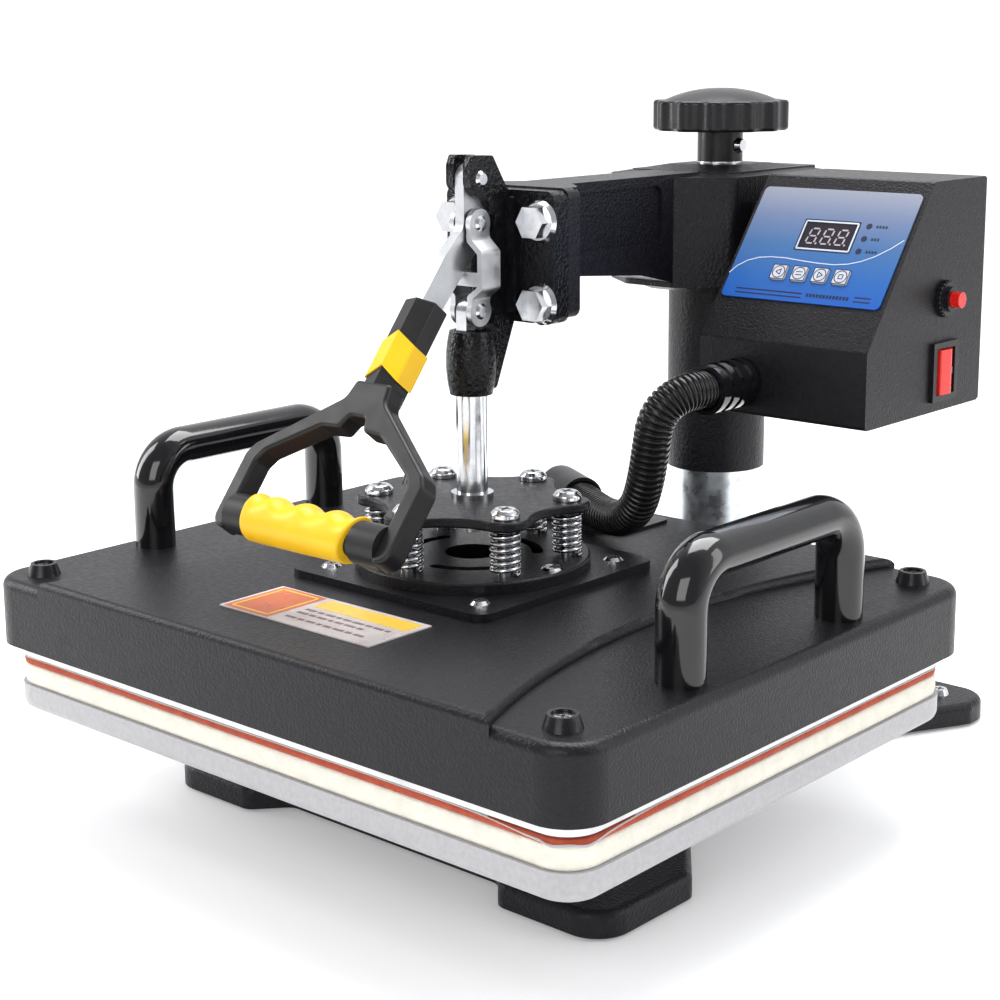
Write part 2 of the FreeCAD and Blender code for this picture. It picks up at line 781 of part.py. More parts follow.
def toggle_bracket():
    cheeks = prism("bracket_web", [cheek_outline()], 16, -8, 0, 0, "YZ_Plane")
    flange_face = [rectangle(2 * dim("flange_half"), 66, 5, 0, 290)]
    flange = prism(
        "bracket_flange", flange_face, "flange_back - flange_front", 0, "flange_back", 0, "XZ_Plane"
    )
    rib = prism(
        "bracket_rib", [rounded([(-15, 262), (15, 262), (12, 320), (-12, 320)], 2)], 8, 0, 26, 0, "XZ_Plane"
    )
    barrel = revolved(
        "guide_barrel",
        [
            Part.LineSegment(Vec(0, 222, 0), Vec(10.8, 222, 0)),
            Part.Arc(Vec(10.8, 222, 0), Vec(12.7, 238, 0), Vec(10.8, 254, 0)),
            Part.LineSegment(Vec(10.8, 254, 0), Vec(0, 254, 0)),
            Part.LineSegment(Vec(0, 254, 0), Vec(0, 222, 0)),
        ],
    )
    solid = fuse("bracket_solid", cheeks, flange, rib, barrel)
    slot = block("ear_slot", ("2 * ear_inner", 29.6, 60), 0, -5.2, 300)
    pin = cylinder("ear_bore", "pin_radius", 30, -15, 0, "anchor_z", ALONG_X)
    guide = cylinder("guide_bore", "rod_radius + running_gap", 40, 0, 0, 218)
    bolt_holes = []
    for x, z in bolts():
        bolt_holes.append(cylinder("flange_hole", "bolt_radius", 30, x, 40, z, ALONG_MINUS_Y))
    keep("toggle_bracket", cut("toggle_bracket", solid, slot, pin, guide, *bolt_holes))

    body = cylinder("anchor_body", "pin_radius", "2 * ear_outer", "-ear_outer", 0, "anchor_z", ALONG_X)
    ends = []
    for side in (-1, 1):
        turn = Turn(Vec(0, 1, 0), 90 * side)
        ends.append(cone("anchor_end", 4.0, 2.8, 1.4, f"{side} * ear_outer", 0, "anchor_z", turn))
    keep("anchor_pin", fuse("anchor_pin", body, *ends))


def bolts():
    for x in (-dim("bolt_x"), dim("bolt_x")):
        for z in (dim("bolt_top_z"), dim("bolt_low_z")):
            yield x, z


def bracket_bolts():
    made = []
    for x, z in bolts():
        shank_length = "end_plate_back - flange_front"
        shank = cylinder("bolt_shank", "bolt_radius", shank_length, x, "end_plate_back", z, ALONG_MINUS_Y)
        washer = cone("bolt_flange", 10.6, 9.2, 2.4, x, "flange_front", z, ALONG_MINUS_Y)
        head = hexagon("bolt_hex", 8.6, 6.4, x, "flange_front - 2.4", z, ALONG_MINUS_Y)
        made.append(fuse("bracket_bolt", shank, washer, head))
    keep("bracket_bolts", group("bracket_bolts", made))


def lever():
    """Flat crank bar, its crank pin, and the framed grip on its far end."""
    back = [(7.3, 336.6), (7.3, 299), (-10.5, 280.5), (-25.6, 264.8), (-43.4, 242.4)]
    front = [(-54.9, 251.5), (-37, 273.8), (-21.5, 292.5), (-7.3, 306), (-7.3, 336.6)]
    outline = rounded(back + front, [7.2, 10, 12, 8, 0, 0, 8, 12, 8, 7.2])
    bar = prism("lever_flat", [outline], "2 * lever_half", "-lever_half", 0, 0, "YZ_Plane")
    anchor = cylinder(
        "lever_bore", "pin_radius + running_gap", 20, -10, 0, "anchor_z", ALONG_X
    )
    crank = cylinder("lever_crank_bore", "pin_radius", 20, -10, 0, "crank_z", ALONG_X)
    lever_bar = cut("lever_bar", bar, anchor, crank)
    keep("lever_bar", lever_bar)

    pin = cylinder("crank_body", "pin_radius", 15.2, -7.6, 0, "crank_z", ALONG_X)
    ends = []
    for side in (-1, 1):
        turn = Turn(Vec(0, 1, 0), 90 * side)
        ends.append(cone("crank_end", 4.0, 2.8, 1.0, 7.6 * side, 0, "crank_z", turn))
    keep("crank_pin", fuse("crank_pin", pin, *ends))

    tilt = Turn(Vec(1, 0, 0), dim("grip_slope"))

    def on_grip(obj, down, lift, turn=tilt):
        """Place a shape down the grip's slope and lifted off its middle plane."""
        shift = tilt.multVec(Vec(0, -down, lift))
        obj.Placement = FreeCAD.Placement(Vec(), turn)
        obj.setExpression(".Placement.Base.y", expr(f"platen_y + grip_y + {shift.y:.4f}"))
        obj.setExpression(".Placement.Base.z", expr(f"grip_z + {shift.z:.4f}"))
        return obj

    outer = [(11.5, -48), (13.5, -58), (56.5, -89.5), (60, -95.5), (59.5, -135)]
    inner = [(50, -135.2), (50.6, -98), (47.5, -92.5), (20, -74.8), (8, -74), (5, -67)]
    half = outer + inner
    radii = [2.2, 7, 6, 6, 7, 2.1, 4, 4, 6, 2.6, 2.6]
    outline = rounded(half + [(-x, y) for x, y in reversed(half)], radii + radii[::-1])
    frame = on_grip(prism("grip_frame_plate", [outline], 12), 0, -2.5)
    fillet_body(frame, 1.8, lambda edge: at_height(0)(edge) or at_height(12)(edge))
    section = [(-10, -6), (0, -9.4), (10, -6), (10, 5), (0, 8.4), (-10, 5)]
    socket_loop = rounded(section, [1.5, 1.2, 1.5, 1.5, 1.2, 1.5])
    socket = on_grip(prism("grip_socket", [socket_loop], 54), 54, 0, tilt * Turn(Vec(1, 0, 0), -90))
    fillet_body(socket, 0.8, at_height(54))
    rod_down, rod_lift = 125.3, 3.5
    spot = tilt.multVec(Vec(0, -rod_down, rod_lift))
    y, z = dim("grip_y") + spot.y, dim("grip_z") + spot.z
    rod = cylinder("grip_rod", 7.6, 102, -51, y, z, ALONG_X)
    left_collar = cylinder("left_collar", 10.0, 13.5, -51, y, z, ALONG_X)
    right_collar = cylinder("right_collar", 10.0, 17, 34, y, z, ALONG_X)
    solid = fuse("grip_solid", frame, socket, rod, left_collar, right_collar)
    trimmed = cut("grip_frame", solid, bar_tool())
    keep("grip_frame", trimmed)

    wide = [(-10.9, -6.6), (0, -10.3), (10.9, -6.6), (10.9, 5.6), (0, 9.3), (-10.9, 5.6)]
    wide_loop = rounded(wide, [1.5, 1.2, 1.5, 1.5, 1.2, 1.5])
    backwards = tilt * Turn(Vec(1, 0, 0), -90)
    band_outer = on_grip(prism("band_outer", [wide_loop], 36), 51, 0, backwards)
    chevron = [(-14, -26.5), (0, -19.4), (14, -26.5), (14, -46.5), (0, -38.8), (-14, -46.5)]
    corner = [Vec(x, y, 0) for x, y in chevron]
    chevron_loop = [Part.LineSegment(a, b) for a, b in zip(corner, corner[1:] + corner[:1])]
    chevron_body = on_grip(prism("band_chevron", [chevron_loop], 26), 0, -13)
    band_inner = on_grip(prism("band_inner", [socket_loop], 54), 54, 0, backwards)
    band = common("band_shape", band_outer, chevron_body)
    keep("grip_band", cut("grip_band", band, band_inner))

    outside = cylinder("finger_outside", 12.2, 71.5, -37.5, y, z, ALONG_X)
    inner_bore = cylinder("finger_inside", 7.6, 71.5, -37.5, y, z, ALONG_X)
    keep("finger_grip", cut("finger_grip", outside, inner_bore))


def bar_tool():
    """The lever bar's blank without its holes, to open the grip's socket."""
    back = [(-10.5, 280.5), (-25.6, 264.8), (-43.4, 242.4)]
    front = [(-54.9, 251.5), (-37, 273.8), (-21.5, 292.5)]
    outline = rounded(back + front, [0, 8, 0, 0, 8, 0])
    return prism("socket_bore", [outline], "2 * lever_half", "-lever_half", 0, 0, "YZ_Plane")


def toggle_link():
    """Two joggled link plates with a bridge between them."""
    pieces = []
    for side in (-1, 1):
        inner = [(4, 256), (4, 272), (11, 277), (11, 293), (4, 299), (4, 316)]
        outer = [(7, 316), (7, 300.4), (14, 294.4), (14, 275.6), (7, 270.6), (7, 256)]
        profile = [(x * side, z) for x, z in inner + outer]
        radii = [0, 2, 2, 2, 2, 0, 0, 3, 3, 3, 3, 0]
        pieces.append(prism("link_strap", [rounded(profile, radii)], 20, 0, 10, 0, "XZ_Plane"))
    pieces.append(block("link_bridge", (24, 3, 7), 0, -5.2, 277))
    straps = fuse("link_straps", *pieces)
    foot = cylinder("link_foot", 7.6, 40, -20, 0, "tang_z", ALONG_X)
    head = cylinder("link_head", 7.4, 40, -20, 0, "crank_z", ALONG_X)
    waist = block("link_waist", (40, 13.6, "crank_z - tang_z"), 0, 0, "tang_z")
    limit = fuse("link_limit", foot, head, waist)
    trimmed = common("link_trimmed", straps, limit)
    crank = cylinder("link_crank_bore", "pin_radius + running_gap", 40, -20, 0, "crank_z", ALONG_X)
    stub = cylinder("link_stub_bore", "pin_radius", 40, -20, 0, "tang_z", ALONG_X)
    keep("toggle_link", cut("toggle_link", trimmed, crank, stub))
    rivets = []
    for side in (-1, 1):
        turn = Turn(Vec(0, 1, 0), 90 * side)
        shank = cylinder("rivet_shank", "pin_radius", 3.4, 4 * side, 0, "tang_z", turn)
        end = cone("rivet_end", 4.0, 2.8, 1.0, 7.4 * side, 0, "tang_z", turn)
        rivets.append(fuse("link_rivet", shank, end))
    keep("link_rivets", group("link_rivets", rivets))


# ---------------------------------------------------------------- arm and head


def arm_casting():
    side_view = [(36, 277), (36, 324), (170, 324), (170, 257), (142, 266), (118, 271.5), (60, 276.5)]
    beam_loop = rounded(side_view, [0, 0, 0, 0, 20, 40, 60])
    beam = prism("arm_beam", [beam_loop], "2 * beam_half", "-beam_half", 0, 0, "YZ_Plane")
    flare_view = [(-34, 41), (34, 41), (30, 47), (16, 60), (-16, 60), (-30, 47)]
    flare = prism("arm_flare", [rounded(flare_view, [0, 0, 5, 8, 8, 5])], 47, 0, 0, "arm_bottom")
    plate = prism(
        "arm_end_plate",
        [rectangle(2 * dim("flange_half"), 65, 5, 0, 291.5)],
        "end_plate_back - flange_back",
        0,
        "end_plate_back",
        0,
        "XZ_Plane",
    )
    half = [(16, 146), (43, 166), (43, 236), (27, 264)]
    outline = half + [(-x, y) for x, y in reversed(half)]
    head = prism("head_block", [rounded(outline, [6, 7, 10, 12, 12, 10, 7, 6])], 60, 0, 0, "head_bottom")
    roof = doc.addObject("Part::Wedge", "head_roof")
    roof.Xmin, roof.Xmax, roof.X2min, roof.X2max = -40, 40, -20, 20
    roof.Zmin, roof.Zmax, roof.Z2min, roof.Z2max = -258, -160, -232, -192
    roof.Ymin = 0
    bind(roof, Ymax="head_peak - head_bottom - 60")
    place(roof, 0, 0, "head_bottom + 60", ALONG_MINUS_Y)
    wing = prism("head_wing", [rounded([(-34, 172), (34, 172), (34, 262), (-34, 262)], 4)], 4, 0, 0, 320)
    sleeve = cylinder("sleeve", "sleeve_radius", "head_bottom - sleeve_bottom", 0, "post_y", "sleeve_bottom")
    spacer = block("box_spacer", (13.5, 36, 40), 48.75, 200, 268)
    solid = fuse("arm_solid", beam, flare, plate, head, roof, wing, sleeve, spacer)
    bore = cylinder("post_bore_cut", "post_radius + running_gap", "316 - 140", 0, "post_y", 140)
    spindle_hole = cylinder("spindle_hole", 9.0, 30, 0, "post_y", 310)
    pockets = []
    for side in (-1, 1):
        view = [rounded([(64, 288), (136, 288), (136, 318.5), (64, 318.5)], 5)]
        pockets.append(prism("arm_pocket", view, 3, -1.5 + 15.5 * side, 0, 0, "YZ_Plane"))
    tapped = [cylinder("bolt_tap", "bolt_radius", 12, x, 43, z, ALONG_MINUS_Y) for x, z in bolts()]
    keep("arm_casting", cut("arm_casting", solid, bore, spindle_hole, *pockets, *tapped))


def knob():
    """Lobed pressure knob on its hub, with the lifting spindle."""
    bore = "spindle_radius + running_gap"
    washer = ring("thrust_washer", "washer_radius", bore, "washer_height", 0, "post_y", "head_peak")
    keep("thrust_washer", washer)
    hub_z = "(head_peak + washer_height)"
    knob_z = f"({hub_z} + hub_height)"
    hub = ring("hub_sleeve", "hub_radius", "spindle_radius", "hub_height", 0, "post_y", hub_z)
    tapped = cylinder("hub_tap", 2.5, 20, 0, "post_y", f"{hub_z} + 9", ALONG_X)
    keep("knob_hub", cut("knob_hub", hub, tapped))
    wall = "hub_radius - spindle_radius"
    grub = cylinder("grub_body", 2.5, wall, "spindle_radius", "post_y", f"{hub_z} + 9", ALONG_X)
    button = cone("grub_head", 4.4, 3.4, 3.2, "hub_radius", "post_y", f"{hub_z} + 9", ALONG_X)
    keep("knob_set_screw", fuse("knob_set_screw", grub, button))
    spindle_bottom = 200.0
    length = f"{knob_z} + 8 - {spindle_bottom}"
    keep("lift_spindle", cylinder("lift_spindle", "spindle_radius", length, 0, "post_y", spindle_bottom))

    lobes = 12
    radius = dim("knob_radius")
    valley = radius - 3.0
    outline = []
    for i in range(lobes):
        angle = 2 * math.pi * i / lobes
        quarter = math.pi / lobes / 2
        start = polar((radius + valley) / 2, angle - quarter)
        end = polar((radius + valley) / 2, angle + quarter)
        after = polar((radius + valley) / 2, angle + 3 * quarter)
        outline.append(Part.Arc(start, polar(radius, angle), end))
        outline.append(Part.Arc(end, polar(valley, angle + 2 * quarter), after))
    rim = prism("knob_rim", [outline], "knob_height", 0, "post_y", knob_z)
    fillet_body(rim, 2.0, lambda edge: at_height(0)(edge) or at_height(dim("knob_height"))(edge))
    dome_profile = [
        Part.LineSegment(Vec(0, 0, 0), Vec(32, 0, 0)),
        Part.Arc(Vec(32, 0, 0), Vec(17.5, 4.9, 0), Vec(0, dim("knob_dome"), 0)),
        Part.LineSegment(Vec(0, dim("knob_dome"), 0), Vec(0, 0, 0)),
    ]
    dome = revolved("knob_top", dome_profile, 0, "post_y", f"{knob_z} + knob_height")
    socket = cylinder("knob_socket", "spindle_radius", 8, 0, "post_y", knob_z)
    keep("pressure_knob", cut("pressure_knob", fuse("knob_solid", rim, dome), socket))


# ---------------------------------------------------------------- control box

PANEL_TURN = Turn(
    Vec(1, 0, 0),
    math.degrees(math.atan2(dim("box_top") - dim("box_fold"), dim("box_slant_y") - dim("box_front"))),
)
BOX_MIDDLE = dim("box_left") + dim("box_width") / 2
ROCKER_TILT = 9.0


def on_panel(obj, x, along, lift=0.0):
    """Place an object on the slanted panel: x, distance up the slant, lift."""
    shift = PANEL_TURN.multVec(Vec(0, along, lift))
    obj.Placement = FreeCAD.Placement(Vec(), PANEL_TURN)
    obj.setExpression(".Placement.Base.x", expr(x))
    obj.setExpression(".Placement.Base.y", expr(f"platen_y + box_front + {shift.y:.5f}"))
    obj.setExpression(".Placement.Base.z", expr(f"box_fold + {shift.z:.5f}"))
    return obj


def box_outline(inset):
    """Side outline of the box, its walls moved inwards by inset."""
    front, back = dim("box_front") + inset, dim("box_back")
    low, top = dim("box_bottom") + inset, dim("box_top") - inset
    slope = PANEL_TURN.Angle
    fold_y = front
    fold_z = dim("box_fold") - inset * math.tan((math.pi / 2 - slope) / 2)
    rise = top - fold_z
    slant_y = fold_y + rise / math.tan(slope)
    points = [(front, low), (fold_y, fold_z), (slant_y, top), (back, top), (back, low)]
    return points


BUTTON_X = [88.0, 100.4, 113.0, 125.4]
BUTTON_UP = 41.3
DISPLAY = {"x": 107.5, "up": 65.2, "width": 34.0, "height": 18.6}


def control_box():
    shell = prism(
        "box_blank",
        [rounded(box_outline(0), [2, 3, 2, 0.8, 0.8])],
        "box_width",
        "box_left",
        0,
        0,
        "YZ_Plane",
    )
    hollow = prism(
        "box_hollow",
        [rounded(box_outline(dim("box_wall")), [1, 2, 1, 0, 0])],
        "box_width - 2 * box_wall",
        "box_left + box_wall",
        0,
        0,
        "YZ_Plane",
    )
    openings = []
    for x in BUTTON_X:
        tool = prism("button_hole", [rectangle(9.6, 9.6, 1.8)], 12)
        openings.append(on_panel(tool, x, BUTTON_UP, -6))
    window = prism("display_hole", [rectangle(DISPLAY["width"], DISPLAY["height"], 1.5)], 12)
    openings.append(on_panel(window, DISPLAY["x"], DISPLAY["up"], -6))
    right = dim("box_left") + dim("box_width")
    openings.append(cylinder("breaker_hole", 6.0, 8, right - 4, 193, 263, ALONG_X))
    openings.append(block("rocker_hole", (8, 21.6, 27.6), right, 194, 225 - 13.8))
    openings.append(cylinder("gland_hole", 8.0, 8, "gland_x", "box_front + 4", "gland_z", ALONG_MINUS_Y))
    keep("control_box", cut("control_box", shell, hollow, *openings))

    y_back = dim("box_back")
    back = prism(
        "box_back",
        [
            rectangle(dim("box_width"), dim("box_top") - dim("box_bottom"), 1.5, BOX_MIDDLE, 264),
            rectangle(28.2, 20.2, 0, BOX_MIDDLE + 20, 228),
        ],
        1.5,
        0,
        y_back + 1.5,
        0,
        "XZ_Plane",
    )
    keep("box_back", back)


def panel():
    overlay_loops = [rectangle(dim("panel_width"), dim("panel_height"), 3.0)]
    middle_x = BOX_MIDDLE - 0.4
    middle_up = dim("panel_low") + dim("panel_height") / 2
    for x in BUTTON_X:
        overlay_loops.append(rectangle(9.6, 9.6, 1.8, x - middle_x, BUTTON_UP - middle_up))
    overlay_loops.append(
        rectangle(
            DISPLAY["width"], DISPLAY["height"], 1.5, DISPLAY["x"] - middle_x, DISPLAY["up"] - middle_up
        )
    )
    overlay = prism("panel_overlay", overlay_loops, "panel_thick")
    keep("panel_overlay", on_panel(overlay, middle_x, middle_up))
    window = prism("display_window", [rectangle(DISPLAY["width"], DISPLAY["height"], 1.5)], 2.7)
    keep("display_window", on_panel(window, DISPLAY["x"], DISPLAY["up"], -2.1))
    for number, x in enumerate(BUTTON_X, start=1):
        key = prism(f"panel_button_{number}", [rectangle(9.0, 9.0, 1.6)], 3.2)
        fillet_body(key, 0.5, at_height(3.2))
        keep(f"panel_button_{number}", on_panel(key, x, BUTTON_UP, -1.5))
    board = prism("circuit_board", [rectangle(90, 70, 2)], 1.6)
    on_panel(board, BOX_MIDDLE, 55, -14)
    switches = []
    for x in BUTTON_X:
        tact = prism("tact_switch", [rectangle(6, 6, 0.5)], 9.6)
        switches.append(on_panel(tact, x, BUTTON_UP, -12.4))
    relay = prism("board_relay", [rectangle(20, 16, 1)], 15)
    on_panel(relay, BOX_MIDDLE - 20, 68, -29)
    terminals = prism("board_terminals", [rectangle(40, 10, 1)], 12)
    on_panel(terminals, BOX_MIDDLE + 12, 30, -26)
    keep("circuit_board", group("circuit_board", [board, *switches, relay, terminals]))


def side_controls():
    """Breaker, its reset button, rocker switch, power inlet and gland."""
    right = dim("box_left") + dim("box_width")
    collar = ring("breaker_collar", 9.0, 4.4, 3.4, right, 193, 263, ALONG_X)
    collar_step = ring("breaker_step", 6.6, 4.4, 2.2, right + 3.4, 193, 263, ALONG_X)
    neck = ring("breaker_neck", 6.0, 4.4, 4.0, right - 4, 193, 263, ALONG_X)
    can = block("breaker_can", (24, 16, 32), right - 16, 193, 247)
    keep("breaker_body", fuse("breaker_body", collar, collar_step, neck, can))
    button = cylinder("breaker_button_body", 4.2, 10.0, right + 0.6, 193, 263, ALONG_X)
    keep("breaker_button", button)

    frame_outside = block("rocker_frame_outside", (2.2, 25.6, 31), right + 1.1, 194, 209.5)
    tube_outside = block("rocker_tube_outside", (22, 21.6, 27.6), right - 11, 194, 211.2)
    hollow = block("rocker_hollow", (24, 18.4, 24.4), right - 5, 194, 212.8)
    bearing = cylinder("rocker_bearing", 1.45, 26.4, right - 2.5, 194, 211.8)
    shell = fuse("rocker_shell", frame_outside, tube_outside)
    keep("rocker_bezel", cut("rocker_bezel", shell, hollow, bearing))
    profile = [(-0.4, -7.7), (4.7, -8.2), (7.3, 0), (4.7, 8.2), (-0.4, 7.7), (-5.9, 0)]
    paddle_loop = rounded(profile, [1, 0.8, 3, 0.8, 1, 5])
    tilt = Turn(Vec(0, 0, 1), ROCKER_TILT)
    paddle = prism("rocker_paddle", [paddle_loop], 23.6, right - 2.5, 194, 213.2, "XY_Plane", tilt)
    axle = cylinder("rocker_axle", 1.4, 26.2, right - 2.5, 194, 211.9)
    keep("rocker_switch", fuse("rocker_switch", paddle, axle))

    inlet_x = BOX_MIDDLE + 20
    face = block("inlet_face", (32, 2.4, 26), inlet_x, dim("box_back") + 2.7, 215)
    core = block("inlet_core", (28, 20, 20), inlet_x, dim("box_back") - 8.5, 218)
    cavity = block("inlet_cavity", (24.6, 17, 16.6), inlet_x, dim("box_back") - 4.6, 219.7)
    shell = cut("inlet_shell", fuse("inlet_solid", face, core), cavity)
    prongs = []
    for dx, dz in ((-7, 226), (7, 226), (0, 230)):
        prongs.append(block("inlet_prong", (4, 12, 2), inlet_x + dx, dim("box_back") - 7.1, dz))
    keep("power_inlet", fuse("power_inlet", shell, *prongs))

    rings = []

    def along_gland(label, radius, length, start):
        return cylinder(label, radius, length, "gland_x", start, "gland_z", ALONG_MINUS_Y)

    body = along_gland("gland_body", "gland_radius - 0.9", "gland_length", "box_front")
    for i in range(4):
        rings.append(along_gland("gland_ring", "gland_radius", 4.4, f"box_front - {1.5 + 8.6 * i}"))
    tail = along_gland("gland_tail", 8.0, 10, "box_front + 10")
    throat = along_gland("gland_throat", "hose_radius + 0.5", 30, "box_front - 4")
    wire_way = along_gland("gland_wire_way", 5.0, 60, "box_front + 20")
    keep("hose_gland", cut("hose_gland", fuse("gland_solid", body, tail, *rings), throat, wire_way))


# ---------------------------------------------------------------- hose

HOSE_POINTS = [
    (-37.0, 122.0, 143.8),
    (-21.0, 113.0, 143.5),
    (-5.0, 104.4, 142.6),
    (12.0, 94.2, 142.6),
    (31.0, 84.2, 145.6),
    (48.5, 74.6, 156.5),
    (59.0, 67.0, 173.0),
    (65.6, 62.4, 191.0),
    (69.2, 60.8, 206.8),
    (73.4, 65.2, 216.2),
    (78.6, 73.6, 221.4),
    (81.3, 84.6, 221.3),
    (81.5, 97.6, 221.0),
    (81.5, 113.0, 220.95),
]


def rounded_route(points):
    """Straight runs joined by tangent arcs, each as large as its runs allow."""
    route = [Vec(*p) for p in points]
    edges = []
    radii = []
    start = route[0]
    for i in range(1, len(route) - 1):
        back = (route[i - 1] - route[i]).normalize()
        ahead = (route[i + 1] - route[i]).normalize()
        shorter = min(route[i].distanceToPoint(route[i - 1]), route[i].distanceToPoint(route[i + 1]))
        half = back.getAngle(ahead) / 2
        reach = 0.45 * shorter
        radius = reach * math.tan(half)
        middle_way = (back + ahead).normalize()
        centre = route[i] + middle_way * (radius / math.sin(half))
        first = route[i] + back * reach
        last = route[i] + ahead * reach
        edges.append(Part.LineSegment(start, first).toShape())
        edges.append(Part.Arc(first, centre - middle_way * radius, last).toShape())
        radii.append(round(radius, 1))
        start = last
    edges.append(Part.LineSegment(start, route[-1]).toShape())
    return Part.Wire(edges), radii


def hose():
    path, radii = rounded_route(HOSE_POINTS)
    radius = dim("hose_radius") - 0.05
    start = Vec(*HOSE_POINTS[0])
    direction = (Vec(*HOSE_POINTS[1]) - start).normalize()
    profile = Part.Wire([Part.Circle(start, direction, radius).toShape()])
    tube = path.makePipeShell([profile], True, True)
    expected = math.pi * radius**2 * path.Length
    print(f"hose length {path.Length:.1f} mm, radii {radii}")
    print(f"hose volume {tube.Volume:.0f}, section times length {expected:.0f}")
    keep("heater_hose", feature("heater_hose", tube))


# ---------------------------------------------------------------- build


def check_document():
    """Stop when any object failed or any sub-part's shape is unsound."""
    for obj in doc.Objects:
        if "Invalid" in obj.State or "Error" in obj.State:
            raise RuntimeError(f"{obj.Label} failed: {obj.State}")
    for name, obj in parts.items():
        shape = obj.Shape
        if shape.isNull() or not shape.isValid() or not shape.Solids:
            raise RuntimeError(f"{name} has no sound shape")


base_frame()
feet()
post()
lower_platen()
platen_cover()
heater()
mounting_plates()
platen_fasteners()
pressure_plate()
platen_handle("left_handle", "-handle_x")
platen_handle("right_handle", "handle_x")
cover_trim()
plunger()
toggle_bracket()
bracket_bolts()
lever()
toggle_link()
arm_casting()
knob()
control_box()
panel()
side_controls()
hose()

doc.recompute()
check_document()
os.makedirs("parts", exist_ok=True)
for name, obj in parts.items():
    obj.Shape.exportStep(os.path.join("parts", name + ".step"))
print(f"{len(parts)} sub-parts written")
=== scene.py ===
import bpy
import bmesh
import math
from mathutils import Matrix, Vector


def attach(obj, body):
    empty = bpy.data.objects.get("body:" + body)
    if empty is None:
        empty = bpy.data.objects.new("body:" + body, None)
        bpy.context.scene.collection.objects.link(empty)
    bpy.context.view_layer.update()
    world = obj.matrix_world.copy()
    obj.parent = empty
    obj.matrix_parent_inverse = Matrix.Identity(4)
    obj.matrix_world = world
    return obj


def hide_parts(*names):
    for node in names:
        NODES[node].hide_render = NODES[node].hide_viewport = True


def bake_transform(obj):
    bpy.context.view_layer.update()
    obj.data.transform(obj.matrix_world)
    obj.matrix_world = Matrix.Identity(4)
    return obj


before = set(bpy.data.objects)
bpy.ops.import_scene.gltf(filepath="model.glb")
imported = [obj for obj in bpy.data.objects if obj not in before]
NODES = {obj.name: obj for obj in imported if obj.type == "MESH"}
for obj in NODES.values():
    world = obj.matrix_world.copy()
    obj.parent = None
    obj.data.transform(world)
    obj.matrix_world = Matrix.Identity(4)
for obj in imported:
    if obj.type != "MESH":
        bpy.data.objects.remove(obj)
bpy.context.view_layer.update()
PLATEN_Y = -0.074  # the platen axis in the row frame, metres
MM = Matrix.Scale(0.001, 4)


def P(x, y, z):
    """Millimetres about the platen's axis, to metres in the row frame."""
    return Vector((x / 1000, y / 1000 + PLATEN_Y, z / 1000))


# ---------------------------------------------------------------- materials


def material(name, color, rough, metal=0.0, **socket_values):
    m = bpy.data.materials.new(name)
    m.use_nodes = True
    shader = m.node_tree.nodes["Principled BSDF"]
    shader.inputs["Base Color"].default_value = (*color, 1)
    shader.inputs["Roughness"].default_value = rough
    shader.inputs["Metallic"].default_value = metal
    for key, value in socket_values.items():
        shader.inputs[key.replace("_", " ")].default_value = value
    return m


def coordinates(m):
    nodes = m.node_tree.nodes
    found = [n for n in nodes if n.type == "TEX_COORD"]
    return (found[0] if found else nodes.new("ShaderNodeTexCoord")).outputs["Object"]


def noise(m, scale, detail=4.0, rough=0.55, stretch=None):
    """A noise texture in object space; stretch scales X, Y and Z."""
    tree = m.node_tree
    tex = tree.nodes.new("ShaderNodeTexNoise")
    tex.inputs["Scale"].default_value = scale
    tex.inputs["Detail"].default_value = detail
    tex.inputs["Roughness"].default_value = rough
    source = coordinates(m)
    if stretch:
        mapping = tree.nodes.new("ShaderNodeMapping")
        mapping.inputs["Scale"].default_value = stretch
        tree.links.new(source, mapping.inputs["Vector"])
        source = mapping.outputs["Vector"]
    tree.links.new(source, tex.inputs["Vector"])
    return tex.outputs["Fac"]


def voronoi(m, scale, feature="F1"):
    tree = m.node_tree
    tex = tree.nodes.new("ShaderNodeTexVoronoi")
    tex.feature = feature
    tex.inputs["Scale"].default_value = scale
    tree.links.new(coordinates(m), tex.inputs["Vector"])
    return tex.outputs["Distance"]


def ramp(m, factor, stops, target):
    """Drive one shader socket from a factor through colour or grey stops."""
    tree = m.node_tree
    node = tree.nodes.new("ShaderNodeValToRGB")
    elements = node.color_ramp.elements
    while len(elements) < len(stops):
        elements.new(0.5)
    for element, (place, value) in zip(elements, stops):
        element.position = place
        rgb = value if isinstance(value, (tuple, list)) else (value,) * 3
        element.color = (*rgb, 1)
    tree.links.new(factor, node.inputs["Fac"])
    shader = tree.nodes["Principled BSDF"]
    tree.links.new(node.outputs["Color"], shader.inputs[target])
    return node


def bump(m, height, strength, distance):
    tree = m.node_tree
    node = tree.nodes.new("ShaderNodeBump")
    node.inputs["Strength"].default_value = strength
    node.inputs["Distance"].default_value = distance
    tree.links.new(height, node.inputs["Height"])
    shader = tree.nodes["Principled BSDF"]
    existing = shader.inputs["Normal"].links
    if existing:
        tree.links.new(existing[0].from_socket, node.inputs["Normal"])
    tree.links.new(node.outputs["Normal"], shader.inputs["Normal"])


def powder_coat(name, low, high, rough, grain, depth):
    m = material(name, low, rough, 0.0, Specular_IOR_Level=0.24)
    ramp(m, noise(m, 420, 3), [(0.3, low), (0.7, high)], "Base Color")
    ramp(m, noise(m, 300, 4), [(0.3, rough - 0.05), (0.7, rough + 0.06)], "Roughness")
    bump(m, noise(m, grain, 2, 0.5), 0.8, depth)
    return m


